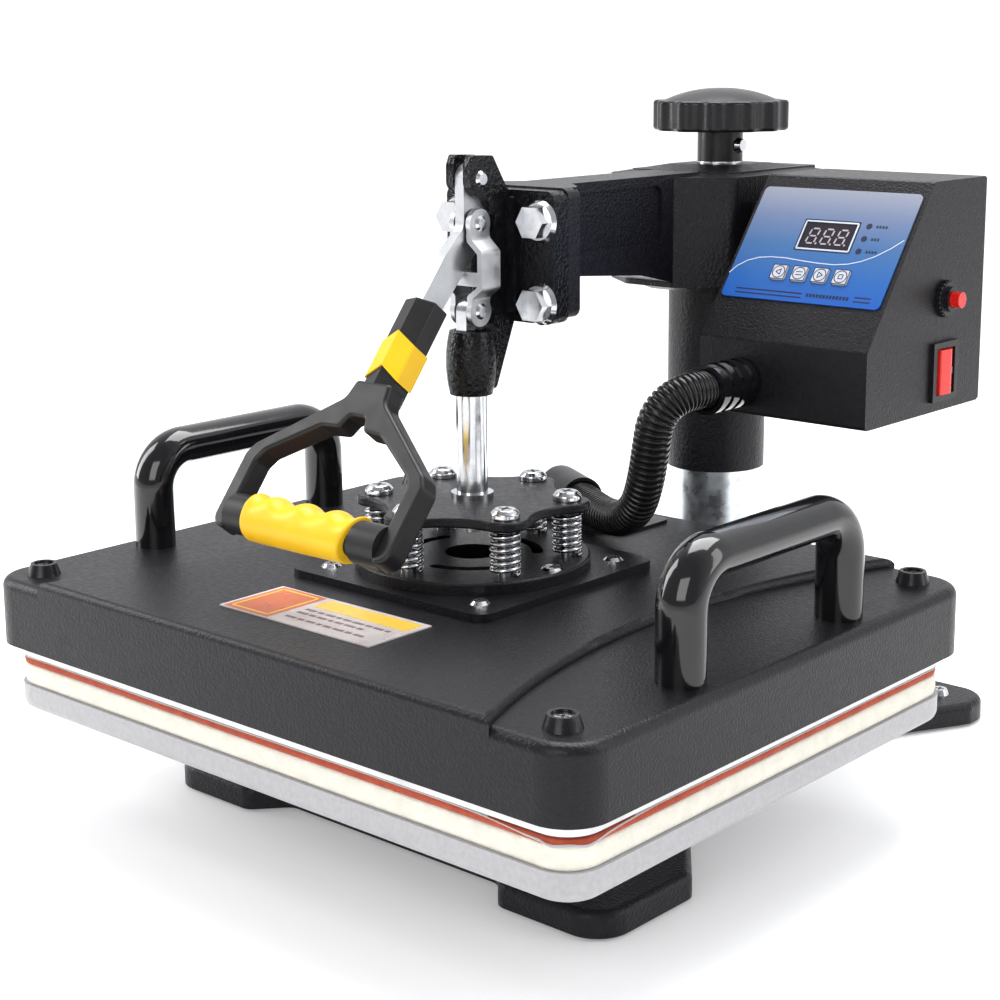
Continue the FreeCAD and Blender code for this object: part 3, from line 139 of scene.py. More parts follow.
def plastic(name, low, high, rough, grain=900.0, depth=0.00005, coat=0.0):
    m = material(
        name, low, rough, 0.0, Specular_IOR_Level=0.32, Coat_Weight=coat, Coat_Roughness=0.08
    )
    ramp(m, noise(m, 25, 3), [(0.3, low), (0.7, high)], "Base Color")
    stops = [(0.3, max(rough - 0.05, 0.02)), (0.7, rough + 0.07)]
    ramp(m, noise(m, 90, 4), stops, "Roughness")
    bump(m, noise(m, grain, 2), 0.35, depth)
    return m


def bright_metal(name, low, high, rough, streak=(1, 1, 1), grain=300.0, depth=0.00004):
    m = material(name, low, rough, 1.0)
    ramp(m, noise(m, 40, 5, 0.6, streak), [(0.3, low), (0.7, high)], "Base Color")
    stops = [(0.3, rough - 0.08), (0.75, rough + 0.14)]
    ramp(m, noise(m, 120, 4, 0.6, streak), stops, "Roughness")
    bump(m, noise(m, grain, 3, 0.5, streak), 0.4, depth)
    return m


def galvanised():
    m = bright_metal("galvanised", (0.42, 0.46, 0.5), (0.72, 0.76, 0.8), 0.3, grain=150)
    stops = [(0.0, (0.45, 0.5, 0.55)), (0.5, (0.7, 0.74, 0.78)), (1.0, (0.85, 0.88, 0.9))]
    ramp(m, voronoi(m, 160), stops, "Base Color")
    return m


def foam(name, low, high, grain, depth):
    m = material(name, low, 0.85, 0.0, Sheen_Weight=0.15, Specular_IOR_Level=0.25)
    ramp(m, noise(m, 120, 6, 0.7), [(0.3, low), (0.7, high)], "Base Color")
    bump(m, voronoi(m, grain), 0.5, depth)
    bump(m, noise(m, grain * 0.6, 5, 0.7), 0.6, depth)
    return m


def woven(name, low, high):
    """Coated glass cloth: two crossed threads under a satin coat."""
    m = material(name, low, 0.5, 0.0, Coat_Weight=0.2, Coat_Roughness=0.35)
    tree = m.node_tree
    waves = []
    for direction in ("X", "Y"):
        wave = tree.nodes.new("ShaderNodeTexWave")
        wave.bands_direction = direction
        wave.inputs["Scale"].default_value = 260
        wave.inputs["Distortion"].default_value = 0.6
        tree.links.new(coordinates(m), wave.inputs["Vector"])
        waves.append(wave.outputs["Fac"])
    mix = tree.nodes.new("ShaderNodeMath")
    mix.operation = "MULTIPLY"
    tree.links.new(waves[0], mix.inputs[0])
    tree.links.new(waves[1], mix.inputs[1])
    bump(m, mix.outputs[0], 0.5, 0.00008)
    ramp(m, noise(m, 30, 4), [(0.3, low), (0.7, high)], "Base Color")
    return m


def overlay_film():
    """Printed panel film: grey-blue at the top, deep blue at the bottom."""
    m = material("overlay_film", (0.05, 0.2, 0.6), 0.28, 0.0, Coat_Weight=0.4, Coat_Roughness=0.1)
    tree = m.node_tree
    split = tree.nodes.new("ShaderNodeSeparateXYZ")
    tree.links.new(coordinates(m), split.inputs["Vector"])
    span = tree.nodes.new("ShaderNodeMapRange")
    span.inputs["From Min"].default_value = 0.262
    span.inputs["From Max"].default_value = 0.318
    tree.links.new(split.outputs["Z"], span.inputs["Value"])
    stops = [
        (0.0, (0.003, 0.085, 0.42)),
        (0.22, (0.010, 0.105, 0.38)),
        (0.5, (0.040, 0.13, 0.32)),
        (0.75, (0.13, 0.18, 0.31)),
        (1.0, (0.26, 0.28, 0.35)),
    ]
    ramp(m, span.outputs["Result"], stops, "Base Color")
    bump(m, noise(m, 700, 2), 0.15, 0.00003)
    return m


BLACK_COAT = powder_coat(
    "black_powder_coat", (0.0052, 0.0050, 0.0068), (0.0088, 0.0084, 0.0112), 0.36, 800, 0.00035
)
CAST_BLACK = powder_coat(
    "rough_cast_black", (0.004, 0.004, 0.005), (0.007, 0.007, 0.0085), 0.2, 420, 0.0009
)
ARM_BLACK = powder_coat(
    "arm_paint", (0.0055, 0.0053, 0.0075), (0.0095, 0.009, 0.0125), 0.34, 650, 0.0006
)
GRIP_BLACK = plastic(
    "grip_black", (0.0085, 0.0082, 0.0092), (0.013, 0.0127, 0.014), 0.4, 1300, 0.00012
)
KNOB_BLACK = plastic(
    "knob_black", (0.0055, 0.0055, 0.0068), (0.0095, 0.0095, 0.0112), 0.28, 700, 0.00012
)
GLOSS_BLACK = plastic(
    "gloss_black", (0.004, 0.004, 0.005), (0.007, 0.007, 0.008), 0.10, 160, 0.00003, coat=0.5
)
HOSE_BLACK = plastic("hose_black", (0.006, 0.006, 0.007), (0.011, 0.011, 0.012), 0.24, 600, 0.00004)
RUBBER = plastic("foot_rubber", (0.012, 0.012, 0.012), (0.022, 0.022, 0.022), 0.75, 700, 0.0001)
ZINC = bright_metal("bright_zinc", (0.50, 0.51, 0.54), (0.80, 0.81, 0.83), 0.16)
PLATE_ZINC = bright_metal(
    "dull_zinc", (0.48, 0.49, 0.51), (0.64, 0.65, 0.67), 0.38, grain=500, depth=0.00008
)
# painted shade: dark crosses laid on screw heads stand in for the shadow inside their driver slots
SLOT_SHADE = bright_metal("recess_shadow", (0.05, 0.05, 0.055), (0.12, 0.12, 0.125), 0.5)
GALVANISED = galvanised()
BRASS = bright_metal("nut_brass", (0.6, 0.42, 0.18), (0.75, 0.56, 0.27), 0.32)
TRAY_SILVER = powder_coat(
    "tray_silver", (0.40, 0.395, 0.41), (0.46, 0.455, 0.47), 0.40, 1400, 0.00008
)
CAST_ALUMINIUM = bright_metal("cast_aluminium", (0.55, 0.55, 0.56), (0.72, 0.72, 0.73), 0.4)
SPONGE = foam("cream_sponge", (0.72, 0.69, 0.60), (0.84, 0.81, 0.72), 700, 0.0004)
RED_FOAM = foam("red_foam", (0.32, 0.045, 0.02), (0.46, 0.085, 0.04), 900, 0.0004)
CLOTH = woven("release_cloth", (0.74, 0.73, 0.71), (0.84, 0.83, 0.81))
YELLOW = plastic("grip_yellow", (0.80, 0.46, 0.005), (0.90, 0.55, 0.012), 0.38, 1000, 0.00006)
RED = plastic("signal_red", (0.60, 0.008, 0.006), (0.75, 0.02, 0.012), 0.16, 200, 0.00002, coat=0.5)
FILM = overlay_film()
KEY_FILM = plastic("key_film", (0.50, 0.53, 0.60), (0.60, 0.62, 0.68), 0.32, 700, 0.00003)
PRINT_DARK = plastic("print_dark", (0.008, 0.014, 0.04), (0.014, 0.02, 0.055), 0.35)
PRINT_PALE = plastic("print_pale", (0.50, 0.56, 0.68), (0.60, 0.66, 0.76), 0.35)
WINDOW = plastic(
    "window_dark", (0.018, 0.014, 0.022), (0.026, 0.02, 0.03), 0.12, 200, 0.00001, coat=0.6
)
SEGMENT = plastic("segment_grey", (0.34, 0.30, 0.34), (0.44, 0.40, 0.43), 0.4)
LABEL_FOIL = plastic("label_foil", (0.42, 0.36, 0.36), (0.70, 0.66, 0.66), 0.28, 300, 0.00002)
LABEL_YELLOW = plastic("label_yellow", (0.78, 0.50, 0.04), (0.88, 0.60, 0.08), 0.3)
LABEL_ORANGE = plastic("label_orange", (0.50, 0.10, 0.03), (0.62, 0.16, 0.05), 0.3)
LABEL_GREY = plastic("label_grey", (0.16, 0.10, 0.10), (0.24, 0.17, 0.17), 0.35)
BOARD = plastic("board_green", (0.01, 0.12, 0.05), (0.02, 0.18, 0.08), 0.4)

FINISH = {
    "base_frame": ARM_BLACK,
    "rubber_feet": RUBBER,
    "foot_screws": ZINC,
    "post": GALVANISED,
    "lift_nut": BRASS,
    "lower_tray": TRAY_SILVER,
    "thrust_washer": ZINC,
    "pressure_knob": KNOB_BLACK,
    "knob_hub": KNOB_BLACK,
    "knob_set_screw": ZINC,
    "lift_spindle": ZINC,
    "arm_casting": ARM_BLACK,
    "toggle_bracket": CAST_BLACK,
    "bracket_bolts": ZINC,
    "anchor_pin": ZINC,
    "control_box": BLACK_COAT,
    "box_back": BLACK_COAT,
    "panel_overlay": FILM,
    "display_window": WINDOW,
    "circuit_board": BOARD,
    "breaker_body": KNOB_BLACK,
    "rocker_bezel": KNOB_BLACK,
    "power_inlet": KNOB_BLACK,
    "hose_gland": GLOSS_BLACK,
    "panel_button_1": KEY_FILM,
    "panel_button_2": KEY_FILM,
    "panel_button_3": KEY_FILM,
    "panel_button_4": KEY_FILM,
    "breaker_button": RED,
    "rocker_switch": RED,
    "lever_bar": PLATE_ZINC,
    "crank_pin": ZINC,
    "grip_frame": GRIP_BLACK,
    "grip_band": YELLOW,
    "toggle_link": PLATE_ZINC,
    "link_rivets": ZINC,
    "plunger_rod": ZINC,
    "rod_collar": ZINC,
    "pressure_plate": BLACK_COAT,
    "rod_nut": ZINC,
    "spring_screws": ZINC,
    "platen_springs": ZINC,
    "spring_disc": BLACK_COAT,
    "mounting_plate": BLACK_COAT,
    "platen_screws": ZINC,
    "cup_washers": KNOB_BLACK,
    "platen_cover": BLACK_COAT,
    "heater_plate": CAST_ALUMINIUM,
    "heating_element": ZINC,
    "left_handle": GLOSS_BLACK,
    "right_handle": GLOSS_BLACK,
    "label_plate": LABEL_FOIL,
    "hose_elbow": KNOB_BLACK,
}
for node, finish in FINISH.items():
    for slot in NODES[node].material_slots:
        slot.material = finish

# ---------------------------------------------------------------- mesh helpers


def mesh_object(name, verts, faces, finish, smooth=True):
    mesh = bpy.data.meshes.new(name)
    mesh.from_pydata([tuple(v) for v in verts], [], faces)
    mesh.validate()
    obj = bpy.data.objects.new(name, mesh)
    bpy.context.collection.objects.link(obj)
    mesh.materials.append(finish)
    bm = bmesh.new()
    bm.from_mesh(mesh)
    bmesh.ops.recalc_face_normals(bm, faces=bm.faces)
    bm.to_mesh(mesh)
    bm.free()
    for face in mesh.polygons:
        face.use_smooth = smooth
    return obj


def rings_to_mesh(name, rings, finish, closed=True):
    """Skin equal rings of points, with fan caps at both ends."""
    count = len(rings[0])
    verts = [v for ring in rings for v in ring]
    faces = []
    for i in range(len(rings) - 1):
        for j in range(count):
            k = (j + 1) % count
            faces.append((i * count + j, i * count + k, (i + 1) * count + k, (i + 1) * count + j))
    if closed:
        for start in (0, (len(rings) - 1) * count):
            centre = sum((Vector(v) for v in verts[start : start + count]), Vector()) / count
            verts.append(centre)
            tip = len(verts) - 1
            for j in range(count):
                faces.append((start + j, start + (j + 1) % count, tip))
    return mesh_object(name, verts, faces, finish)


def rounded_outline(width, depth, corner, steps=10, edge_steps=26):
    """Points round a rounded rectangle, in millimetres about the platen."""
    w, d = width / 2 - corner, depth / 2 - corner
    corners = [(w, -d, -90), (w, d, 0), (-w, d, 90), (-w, -d, 180)]

    def on_corner(index, i):
        x, y, angle = corners[index % 4]
        a = math.radians(angle + 90 * i / steps)
        return x + corner * math.cos(a), y + corner * math.sin(a)

    points = []
    for index in range(4):
        points += [on_corner(index, i) for i in range(steps + 1)]
        (x0, y0), (x1, y1) = points[-1], on_corner(index + 1, 0)
        for i in range(1, edge_steps):
            share = i / edge_steps
            points.append((x0 + (x1 - x0) * share, y0 + (y1 - y0) * share))
    return points


def thin_prints(name, placed, finish, thick):
    """Flat polygons, each with its own matrix, given a little thickness."""
    verts, faces = [], []
    for matrix, polygon in placed:
        base = len(verts)
        n = len(polygon)
        for z in (0.0, thick):
            for x, y in polygon:
                verts.append(matrix @ Vector((x, y, z)))
        faces.append(tuple(base + n + i for i in range(n)))
        faces.append(tuple(base + n - 1 - i for i in range(n)))
        for i in range(n):
            k = (i + 1) % n
            faces.append((base + i, base + k, base + n + k, base + n + i))
    return mesh_object(name, verts, faces, finish, smooth=False)


def print_on(name, polygons, matrix, finish, thick=0.06):
    """Thin printed shapes that share one matrix."""
    return thin_prints(name, [(matrix, polygon) for polygon in polygons], finish, thick)


def circle_point(x, y, r, angle):
    return x + r * math.cos(angle), y + r * math.sin(angle)


def disc_shape(x, y, r, count=28):
    return [circle_point(x, y, r, 2 * math.pi * i / count) for i in range(count)]


def bar_shape(x0, y0, x1, y1, width):
    """A straight bar between two points."""
    dx, dy = x1 - x0, y1 - y0
    length = math.hypot(dx, dy)
    px, py = -dy / length * width / 2, dx / length * width / 2
    return [(x0 - px, y0 - py), (x1 - px, y1 - py), (x1 + px, y1 + py), (x0 + px, y0 + py)]


def ring_shapes(x, y, r, width, count=28):
    """A ring as a chain of small quads."""
    quads = []
    for i in range(count):
        a, b = 2 * math.pi * i / count, 2 * math.pi * (i + 1) / count
        inner, outer = r - width / 2, r + width / 2
        quads.append([
            circle_point(x, y, inner, a),
            circle_point(x, y, outer, a),
            circle_point(x, y, outer, b),
            circle_point(x, y, inner, b),
        ])
    return quads


def frame_shapes(x0, y0, x1, y1, width):
    return [
        bar_shape(x0, y0, x1, y0, width),
        bar_shape(x1, y0, x1, y1, width),
        bar_shape(x1, y1, x0, y1, width),
        bar_shape(x0, y1, x0, y0, width),
    ]


def flat_at(x, y, z, turn=0.0):
    """Matrix for flat prints in millimetres, lying level at a point."""
    return Matrix.Translation(P(x, y, z)) @ Matrix.Rotation(math.radians(turn), 4, "Z") @ MM


# ---------------------------------------------------------------- camera, lights, floor


def place_camera(at, azimuth, elevation, roll):
    """A camera at a point in millimetres, turned by three angles in degrees."""
    data = bpy.data.cameras.new("camera")
    data.sensor_width = 36
    data.lens = 69.09
    data.shift_x = -0.01456
    data.shift_y = -0.07088
    data.clip_start = 0.05
    camera = bpy.data.objects.new("camera", data)
    bpy.context.collection.objects.link(camera)
    az, el, roll = math.radians(azimuth), math.radians(elevation), math.radians(roll)
    back = Vector((math.sin(az) * math.cos(el), -math.cos(az) * math.cos(el), math.sin(el)))
    level_right = Vector((math.cos(az), math.sin(az), 0))
    level_up = back.cross(level_right)
    right = level_right * math.cos(roll) + level_up * math.sin(roll)
    up = level_up * math.cos(roll) - level_right * math.sin(roll)
    axes = Matrix((right, up, back)).transposed().to_4x4()
    camera.matrix_world = Matrix.Translation(P(*at)) @ axes
    bpy.context.scene.camera = camera


def map_range(tree, source, from_span, to_span):
    """A map range node on a source socket."""
    node = tree.nodes.new("ShaderNodeMapRange")
    spans = (("From", from_span), ("To", to_span))
    for side, (low, high) in spans:
        node.inputs[side + " Min"].default_value = low
        node.inputs[side + " Max"].default_value = high
    tree.links.new(source, node.inputs["Value"])
    return node.outputs["Result"]


def studio_world():
    """A pale room, brighter behind the object than in front of it."""
    world = bpy.data.worlds.new("studio")
    world.use_nodes = True
    tree = world.node_tree
    background = tree.nodes["Background"]
    background.inputs["Color"].default_value = (0.97, 0.98, 1.0, 1)
    heading = tree.nodes.new("ShaderNodeTexCoord")
    split = tree.nodes.new("ShaderNodeSeparateXYZ")
    tree.links.new(heading.outputs["Generated"], split.inputs["Vector"])
    glow = map_range(tree, split.outputs["Y"], (-0.3, 0.45), (0.35, 1.04))
    tree.links.new(glow, background.inputs["Strength"])
    bpy.context.scene.world = world
    bpy.context.scene.view_settings.view_transform = "Standard"


def area_light(name, at, towards, size, power, size_y=None):
    light = bpy.data.lights.new(name, "AREA")
    light.shape = "RECTANGLE"
    light.size = size
    light.size_y = size_y or size
    light.energy = power
    obj = bpy.data.objects.new(name, light)
    bpy.context.collection.objects.link(obj)
    obj.location = at
    obj.rotation_euler = (Vector(towards) - Vector(at)).to_track_quat("-Z", "Y").to_euler()


def studio_floor(half=60, level=-0.0002):
    """A white floor with painted light: its glow grows away from the object, and the weaker glow
    near the object lifts the cast shadows.
    """
    m = material("floor", (0.86, 0.86, 0.86), 0.8)
    stops = [(0.3, (0.86, 0.86, 0.86)), (0.7, (0.88, 0.88, 0.88))]
    ramp(m, noise(m, 3, 3), stops, "Base Color")
    tree = m.node_tree
    shader = tree.nodes["Principled BSDF"]
    # painted light: the floor glows though it is no lamp, faintly near the object to lift the cast
    # shadows and more strongly further out
    shader.inputs["Emission Color"].default_value = (1, 1, 1, 1)
    reach = tree.nodes.new("ShaderNodeVectorMath")
    reach.operation = "LENGTH"
    tree.links.new(coordinates(m), reach.inputs[0])
    glow = map_range(tree, reach.outputs["Value"], (0.3, 2.6), (0.2, 0.62))
    tree.links.new(glow, shader.inputs["Emission Strength"])
    signs = [(-1, -1), (1, -1), (1, 1), (-1, 1)]
    corners = [(sx * half, sy * half, level) for sx, sy in signs]
    return mesh_object("floor", corners, [(0, 1, 2, 3)], m)


place_camera((642.448, -697.929, 395.546), 41.3267, 11.4468, -0.3186)
studio_world()
area_light("top_softbox", (-0.15, 0.35, 1.5), (0, 0, 0.15), 1.2, 26, 0.9)
area_light("left_strip", (-1.3, -0.6, 0.8), (0, 0, 0.2), 0.5, 14, 1.3)
area_light("right_strip", (1.25, 0.55, 0.9), (0.05, 0, 0.2), 0.4, 6, 1.3)
area_light("front_fill", (0.5, -1.7, 1.0), (0, 0, 0.15), 1.1, 14)
floor = studio_floor()

# ---------------------------------------------------------------- hose

HOSE_ROUTE = [
    (81.5, 113.0, 220.95),
    (81.5, 97.6, 221.0),
    (81.3, 84.6, 221.3),
    (78.6, 73.6, 221.4),
    (73.4, 65.2, 216.2),
    (69.2, 60.8, 206.8),
    (65.6, 62.4, 191.0),
    (59.0, 67.0, 173.0),
    (48.5, 74.6, 156.5),
    (31.0, 84.2, 145.6),
    (12.0, 94.2, 142.6),
    (-5.0, 104.4, 142.6),
    (-21.0, 113.0, 143.5),
    (-37.0, 122.0, 143.8),
]
HOSE_STEPS = 2400
HOSE_SIDES = 48
GROOVE_RADIUS = 0.00855
RIB_HEIGHT = 0.00125
# one rib: share of its pitch, share of its height
RIB_PROFILE = [
    (0.0, 0.0), (0.10, 0.25), (0.16, 0.85), (0.26, 1.0), (0.55, 1.0), (0.84, 0.85), (0.90, 0.25),
]
# one rib's pitch along the hose, and how much tighter it is near the ends
RIB_PITCH = 0.0036
RIB_SQUEEZE = 0.0015
SQUEEZED = [(0.13, 0.14), (0.93, 0.12)]


def route_points(points):
    """Points read from one smooth spline through the route."""
    curve = bpy.data.curves.new("hose_route", "CURVE")
    curve.dimensions = "3D"
    spline = curve.splines.new("NURBS")
    spline.points.add(len(points) - 1)
    for point, place in zip(spline.points, points):
        point.co = (*P(*place), 1)
    spline.order_u = 3
    spline.use_endpoint_u = True
    spline.resolution_u = 24
    carrier = bpy.data.objects.new("hose_route", curve)
    bpy.context.collection.objects.link(carrier)
    mesh = bpy.data.meshes.new_from_object(carrier)
    line = [v.co.copy() for v in mesh.vertices]
    bpy.data.objects.remove(carrier)
    bpy.data.meshes.remove(mesh)
    return line


def along(line, steps):
    """Evenly spaced points and a turning-free frame along a line."""
    total = sum((b - a).length for a, b in zip(line, line[1:]))
    spots, run, i = [], 0.0, 0
    for step in range(steps + 1):
        want = total * step / steps
        while i < len(line) - 2 and run + (line[i + 1] - line[i]).length < want:
            run += (line[i + 1] - line[i]).length
            i += 1
        span = (line[i + 1] - line[i]).length
        share = min(max((want - run) / span, 0), 1) if span > 0 else 0
        spots.append(line[i].lerp(line[i + 1], share))
    frames = []
    side = Vector((1, 0, 0))
    for j, spot in enumerate(spots):
        ahead = (spots[min(j + 1, steps)] - spots[max(j - 1, 0)]).normalized()
        side = (side - ahead * side.dot(ahead)).normalized()
        frames.append((spot, side.copy(), ahead.cross(side)))
    return frames, total


def ribbed_hose():
    """Ribbed heater hose: flat ribs, packed closer near both ends."""
    line = route_points(HOSE_ROUTE)
    frames, total = along(line, HOSE_STEPS)
    marks, place = [0.0], 0.0
    while place < total:
        share = place / total
        near = max(math.exp(-((share - middle) / width) ** 2) for middle, width in SQUEEZED)
        place += RIB_PITCH - RIB_SQUEEZE * near
        marks.append(min(place, total))
    rings = []
    for begin, end in zip(marks, marks[1:]):
        pitch = end - begin
        for part, lift in RIB_PROFILE:
            step = min(round((begin + part * pitch) / total * HOSE_STEPS), HOSE_STEPS)
            spot, side, other = frames[step]
            radius = GROOVE_RADIUS + RIB_HEIGHT * lift
            ring = []
            for k in range(HOSE_SIDES):
                a = 2 * math.pi * k / HOSE_SIDES
                ring.append(spot + side * (radius * math.cos(a)) + other * (radius * math.sin(a)))
            rings.append(ring)
    hose = rings_to_mesh("ribbed_hose", rings, HOSE_BLACK)
    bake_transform(hose)
    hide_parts("heater_hose")


ribbed_hose()

# ---------------------------------------------------------------- soft layers


PAD_WIDTH, PAD_DEPTH, PAD_CORNER = 380, 300, 16.5


def wobble(i, scale, seed):
    """A slow, uneven waver round an outline."""
    slow = math.sin(i * 0.37 + seed)
    middle = 0.6 * math.sin(i * 0.91 + 2.1 * seed)
    quick = 0.3 * math.sin(i * 2.3 + seed)
    return scale * (slow + middle + quick)


def outward(x, y):
    """The outward direction at a point on the pads' outline."""
    corner_x, corner_y = PAD_WIDTH / 2 - PAD_CORNER, PAD_DEPTH / 2 - PAD_CORNER
    nx = 0.0 if abs(x) < corner_x else math.copysign(1, x)
    ny = 0.0 if abs(y) < corner_y else math.copysign(1, y)
    if nx and ny:
        dx, dy = x - math.copysign(corner_x, x), y - math.copysign(corner_y, y)
        r = math.hypot(dx, dy) or 1
        nx, ny = dx / r, dy / r
    return nx, ny


def slab(name, bottom, top, profile, finish, seed, rough):
    """A foam slab whose cut side bulges and wavers a little."""
    outline = rounded_outline(PAD_WIDTH, PAD_DEPTH, PAD_CORNER)
    rings = []
    spans = [(-4.0, bottom), (-1.2, bottom)] + profile + [(-1.2, top), (-4.0, top), (-60.0, top)]
    for offset, z in spans:
        ring = []
        for i, (x, y) in enumerate(outline):
            out = offset + (wobble(i, rough, seed + z) if abs(offset) < 1 else 0)
            nx, ny = outward(x, y)
            ring.append(P(x + nx * out, y + ny * out, z))
        rings.append(ring)
    return rings_to_mesh(name, rings, finish)


sponge = slab(
    "sponge_slab", 69.3, 79.9,
    [(-0.45, 69.5), (-0.1, 70.6), (0.15, 73.5), (0.2, 76.0), (0.0, 78.6), (-0.4, 79.7)],
    SPONGE, 1.3, 0.10,
)
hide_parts("sponge_pad")
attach(sponge, "base")

red_pad = slab(
    "red_foam_slab", 80.05, 83.4,
    [(-0.3, 80.15), (0.0, 80.9), (0.1, 81.8), (0.0, 82.7), (-0.3, 83.3)],
    RED_FOAM, 4.2, 0.13,
)
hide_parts("foam_sheet")
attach(red_pad, "base")


def release_cloth():
    """Thin cloth over the foam, its front right corner turned down."""
    outline = rounded_outline(380.6, 300.6, 16.8, steps=12, edge_steps=44)
    levels = [0.3, 0.55, 0.72, 0.84, 0.91, 0.95, 0.975, 0.99, 1.0]
    height, fold_reach, fold_drop, fold_push = 83.74, 62.0, 4.6, 1.6
    tops, bottoms = [], []
    for share in levels:
        ring_top, ring_low = [], []
        for i, (x, y) in enumerate(outline):
            px, py = x * share, y * share
            z = height + 0.05 * math.sin(px / 9.0 + py / 13.0) * share
            from_corner = math.hypot(px - PAD_WIDTH / 2, py + PAD_DEPTH / 2)
            near = max(0.0, 1 - from_corner / fold_reach)
            edge = max(0.0, (share - 0.9) / 0.1)
            fold = near * near * edge
            z -= fold_drop * fold * (1 + 0.25 * math.sin(i * 0.8))
            px += fold_push * fold
            py -= fold_push * fold
            z -= 0.25 * edge * (0.5 + 0.5 * math.sin(i * 0.23))
            ring_top.append(P(px, py, z + 0.16))
            ring_low.append(P(px, py, z - 0.02))
        tops.append(ring_top)
        bottoms.append(ring_low)
    rings = tops + bottoms[::-1]
    cloth = rings_to_mesh("release_cloth", rings, CLOTH)
    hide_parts("release_sheet")
    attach(cloth, "base")


release_cloth()

# ---------------------------------------------------------------- grip

SLOPE = math.radians(51.5)
GRIP = Matrix.Translation(P(0, -31, 269)) @ Matrix.Rotation(SLOPE, 4, "X") @ MM
HANDLE_DOWN, HANDLE_LIFT = 125.3, 3.5  # the hand rod's axis on the lever


def on_grip(x, down, lift):
    """A point on the lever: across it, down it and above its plane."""
    return GRIP @ Vector((x, -down, lift))


def finger_grip():
    """Moulded yellow sleeve with finger scallops on the side facing the window."""
    rings = []
    left, right_end = -37.4, 33.9
    steps, sides = 110, 64
    finger_pitch, lip = 20.6, 1.6
    for i in range(steps + 1):
        share = i / steps
        ring = []
        for k in range(sides):
            a = 2 * math.pi * k / sides
            slant = 3.0 * (1 - math.cos(a - 0.3))
            x = left + (right_end - slant - left) * share
            crest = 0.5 + 0.5 * math.cos(2 * math.pi * (x + 3) / finger_pitch)
            if x < -23.5:
                crest = max(crest, min(1.0, (-30.0 - x) / 6.0))
            if x > 26.0:
                crest = min(1.0, crest + (x - 26.0) / 16.0)
            upper = max(0.0, math.cos(a - 0.15)) ** 0.9
            lower = max(0.0, -math.cos(a - 0.15))
            bulge = math.cos((x + 12) / 42.0)
            radius = 11.0 + lower * (0.6 * bulge) + upper * (1.1 - 2.9 * (1 - crest))
            end = max(min(x - left, right_end - slant - x, lip) / lip, 0.0)
            radius *= 1.0 - 0.09 * (1 - math.sqrt(max(0.0, 1 - (1 - end) ** 2)))
            down = HANDLE_DOWN - radius * math.cos(a)
            ring.append(on_grip(x, down, HANDLE_LIFT + radius * math.sin(a)))
        rings.append(ring)
    grip = rings_to_mesh("finger_sleeve", rings, YELLOW)
    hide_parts("finger_grip")
    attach(grip, "lever")


finger_grip()

# ---------------------------------------------------------------- panel prints

FOLD = math.atan2(324 - 243, 180 - 118)
PANEL = Matrix.Translation(P(0, 118, 243)) @ Matrix.Rotation(FOLD, 4, "X") @ MM


def on_panel(lift):
    """Matrix of the panel's face, raised by a lift in millimetres."""
    return PANEL @ Matrix.Translation((0, 0, lift))


def panel_prints():
    """Rules, bars, lamps and a sweep line, with no words."""
    dark, pale = [], []
    # display surround
    dark += frame_shapes(91.0, 55.9, 124.0, 74.5, 0.8)
    pale += frame_shapes(91.8, 56.7, 123.2, 73.7, 0.9)
    # lamps and their captions as plain bars
    for x, s, length in ((129.6, 72.6, 8.2), (129.4, 65.0, 6.0), (129.1, 57.4, 7.0)):
        dark.append(disc_shape(x, s, 1.75))
        for k in range(int(length / 1.7)):
            left = x + 4.2 + 1.75 * k
            dark.append(bar_shape(left, s, left + 1.15, s, 1.5))
    # lower rules and caption bars
    for s in (27.6, 30.0):
        dark.append(bar_shape(66, s, 106.5, s, 0.7))
        dark.append(bar_shape(137.5, s + 0.6, 147.0, s + 0.6, 0.7))
    for k in range(13):
        left = 109.2 + 1.98 * k
        dark.append(bar_shape(left, 29.4, left + 1.35, 29.4, 1.9))
    sweep = [
        (57.5, 38.6), (61, 43.4), (66, 47.0), (72, 49.2), (79, 50.1), (88, 50.2), (98, 49.3),
        (108, 48.6), (118, 48.4), (126, 49.4), (133, 51.6), (140, 55.2), (147, 60.5), (152.5, 65.8),
    ]
    for (x0, y0), (x1, y1) in zip(sweep, sweep[1:]):
        pale.append(bar_shape(x0, y0, x1, y1, 0.55))
    prints = [
        print_on("panel_print_dark", dark, on_panel(0.83), PRINT_DARK),
        print_on("panel_print_pale", pale, on_panel(0.90), PRINT_PALE),
    ]
    for piece in prints:
        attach(piece, "swing_arm")


def display_glass():
    """Tinted display window, a little smaller than its opening."""
    outline = [(92.5, 57.4), (122.5, 57.4), (122.5, 73.0), (92.5, 73.0)]
    glass = print_on("display_glass", [outline], on_panel(0.02), WINDOW, 0.56)
    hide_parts("display_window")
    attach(glass, "swing_arm")


def display_digits():
    """Three unlit slanted figures of seven segments each, with their points."""
    shapes = []
    w, h, t = 5.0, 4.5, 0.9
    for digit in range(3):
        x0, y0 = 95.6 + 8.6 * digit, 60.4

        def s(x, y, x0=x0, y0=y0):
            return (x0 + x + 0.14 * y, y0 + y)

        for level in (0, h, 2 * h):
            shapes.append([
                s(0.5, level), s(1.0, level + t / 2), s(w - 1.0, level + t / 2),
                s(w - 0.5, level), s(w - 1.0, level - t / 2), s(1.0, level - t / 2),
            ])
        for x in (0, w):
            for level in (0, h):
                low, high = level + 0.5, level + h - 0.5
                shapes.append([
                    s(x, low), s(x + t / 2, level + 1.0), s(x + t / 2, level + h - 1.0),
                    s(x, high), s(x - t / 2, level + h - 1.0), s(x - t / 2, level + 1.0),
                ])
        shapes.append(disc_shape(x0 + w + 1.5, y0, 0.6, 12))
    digits = print_on("display_digits", shapes, on_panel(0.62), SEGMENT)
    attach(digits, "swing_arm")


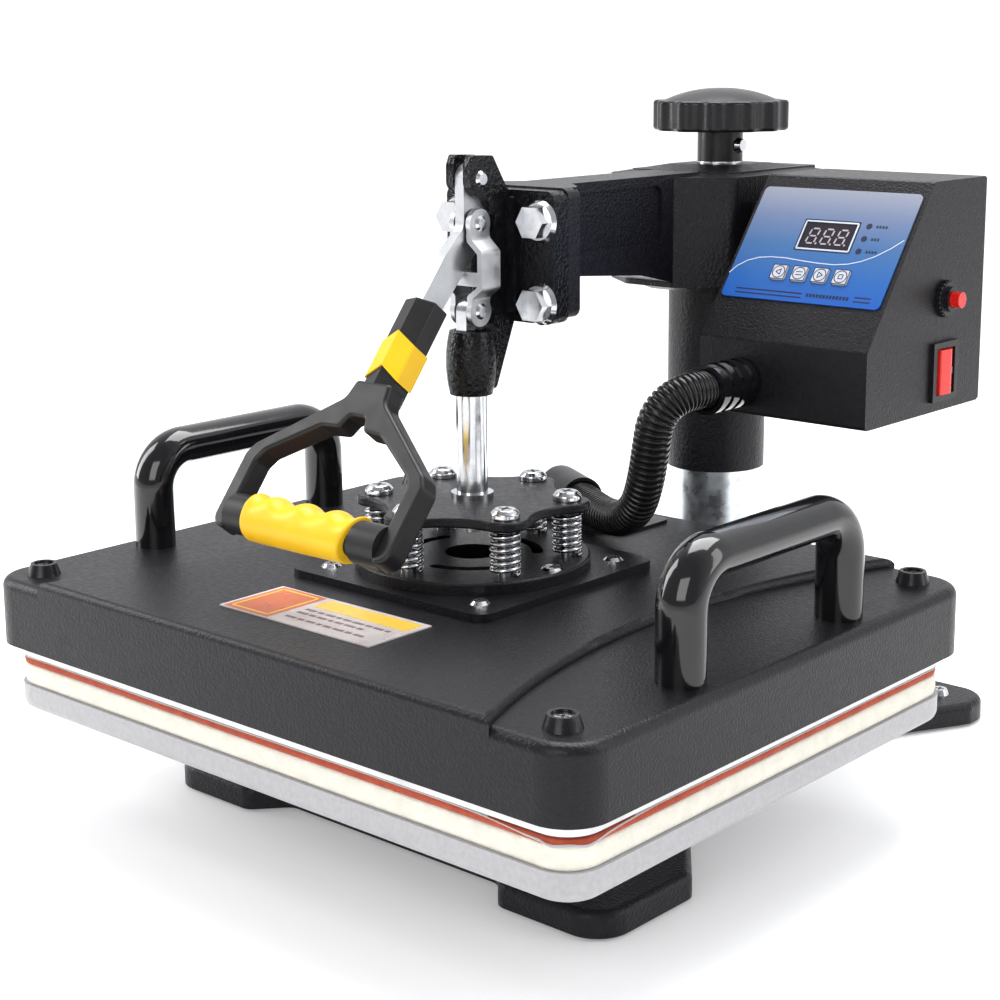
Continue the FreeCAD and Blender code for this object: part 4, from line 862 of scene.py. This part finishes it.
def key_symbol(number, x, y):
    """The sign on a key: a left triangle, two bars, a right triangle or a square."""
    if number == 2:
        return [bar_shape(x - 1.9, y + up, x + 1.9, y + up, 0.5) for up in (-0.9, 0.9)]
    if number == 4:
        return frame_shapes(x - 1.2, y - 1.2, x + 1.2, y + 1.2, 0.5)
    way = 1 if number == 1 else -1
    tip, back = x - 1.7 * way, x + 1.1 * way
    return [
        bar_shape(tip, y, back, y + 1.7, 0.5),
        bar_shape(back, y + 1.7, back, y - 1.7, 0.5),
        bar_shape(back, y - 1.7, tip, y, 0.5),
    ]


def key_marks():
    """A ring, a square and a sign on each of the four keys."""
    y = 41.3
    for number, x in enumerate((88.0, 100.4, 113.0, 125.4), start=1):
        shapes = ring_shapes(x, y, 3.5, 0.5)
        shapes += frame_shapes(x - 4.2, y - 4.2, x + 4.2, y + 4.2, 0.45)
        shapes += key_symbol(number, x, y)
        mark = print_on(f"key_mark_{number}", shapes, on_panel(1.71), PRINT_DARK)
        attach(mark, f"button_{number}")


def side_details():
    """Knurl round the breaker collar and the rocker's off mark."""
    teeth, inner, depth = 22, 9.05, 0.7
    outline = []
    for i in range(teeth * 4):
        a = 2 * math.pi * i / (teeth * 4)
        r = inner + (depth if i % 4 in (1, 2) else 0.0)
        outline.append((r * math.cos(a), r * math.sin(a)))
    rings = []
    for out, scale in ((0.0, 1.0), (2.4, 1.0), (3.0, 0.93)):
        rings.append([P(156.55 + out, 193 + y * scale, 263 + z * scale) for y, z in outline])
    knurl = rings_to_mesh("breaker_knurl", rings, KNOB_BLACK)
    for face in knurl.data.polygons:
        face.use_smooth = False
    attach(knurl, "swing_arm")
    quarter, tilt = math.radians(90), math.radians(9.0)
    slope = math.atan2(2.6, 8.2)
    spot = Matrix.Translation(P(154.0, 194, 225)) @ Matrix.Rotation(tilt, 4, "Z")
    face_turn = Matrix.Rotation(quarter + slope, 4, "Z") @ Matrix.Rotation(quarter, 4, "X")
    mark_at = spot @ Matrix.Translation((0.00612, 0.0041, 0.0)) @ face_turn @ MM
    mark = print_on("rocker_mark", ring_shapes(0, 0, 1.5, 0.5, 20), mark_at, PRINT_PALE, 0.08)
    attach(mark, "power_rocker")


side_details()
panel_prints()
display_glass()
display_digits()
key_marks()

# ---------------------------------------------------------------- label and painted screw-slot shade


def label_prints():
    """An orange block, a yellow band and grey bars on the foil plate."""
    z = 130.63
    flat = flat_at(0, 0, z)
    orange = [[(-49, -124), (-18, -124), (-18, -85), (-49, -85)]]
    yellow = [[(-14, -98.5), (48, -98.5), (48, -86.5), (-14, -86.5)]]
    block_frame = frame_shapes(-46, -121, -21, -88, 1.2)
    grey, left = [], -13.0
    for y, length in ((-103.5, 58), (-109.0, 44), (-116.5, 52)):
        x = left
        step = 2
        while x < left + length - 3:
            run = 3.0 + (step * 7 % 5)
            grey.append(bar_shape(x, y, min(x + run, left + length), y, 2.2))
            x += run + 1.4
            step += 1
    pieces = [
        print_on("label_block", orange, flat, LABEL_ORANGE, 0.05),
        print_on("label_band", yellow, flat, LABEL_YELLOW, 0.05),
        print_on("label_bars", grey, flat, LABEL_GREY, 0.05),
        print_on("label_block_frame", block_frame, flat_at(0, 0, z + 0.05), LABEL_YELLOW, 0.04),
    ]
    for piece in pieces:
        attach(piece, "heat_platen")


def cross(name, places, span, width, body):
    """Painted shade for the driver slots in the heads of crosshead screws: thin dark crosses laid
    on the heads.
    """
    half = span / 2
    bars = (bar_shape(-half, 0, half, 0, width), bar_shape(0, -half, 0, half, width))
    placed = [(flat_at(*place), bar) for place in places for bar in bars]
    obj = thin_prints(name, placed, SLOT_SHADE, 0.07)
    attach(obj, body)


def ring_places(count, radius, phase, z, turn0):
    """Evenly spaced places on a ring, each with its own turn."""
    out = []
    for i in range(count):
        a = math.radians(phase + 360 / count * i)
        out.append((radius * math.cos(a), radius * math.sin(a), z, turn0 + 37 * i))
    return out


label_prints()
CORNERS = [(sx, sy) for sx in (-1, 1) for sy in (-1, 1)]
spring_screws = ring_places(6, 48.5, 31.5, 173.6, 12)
cup_screws = [(sx * 175, sy * 138, 130.8, 20 * sx + 9) for sx, sy in CORNERS]
plate_screws = [(sx * 51, sy * 51, 135.6, 31 * sx) for sx, sy in CORNERS]
disc_screws = ring_places(3, 52, 1.5, 141.0, 8)
foot_screws = [(sx * 114, y, 17.2, 15 * sx) for sx in (-1, 1) for y in (-46, 284)]
# painted shade for the screws' driver slots, as thin dark crosses on their heads
cross("spring_screw_slot_shade", spring_screws, 6.6, 1.5, "heat_platen")
cross("cup_screw_slot_shade", cup_screws, 5.0, 1.2, "heat_platen")
cross("plate_screw_slot_shade", plate_screws, 4.4, 1.0, "heat_platen")
cross("disc_screw_slot_shade", disc_screws, 5.2, 1.2, "heat_platen")
cross("foot_screw_slot_shade", foot_screws, 5.0, 1.2, "base")
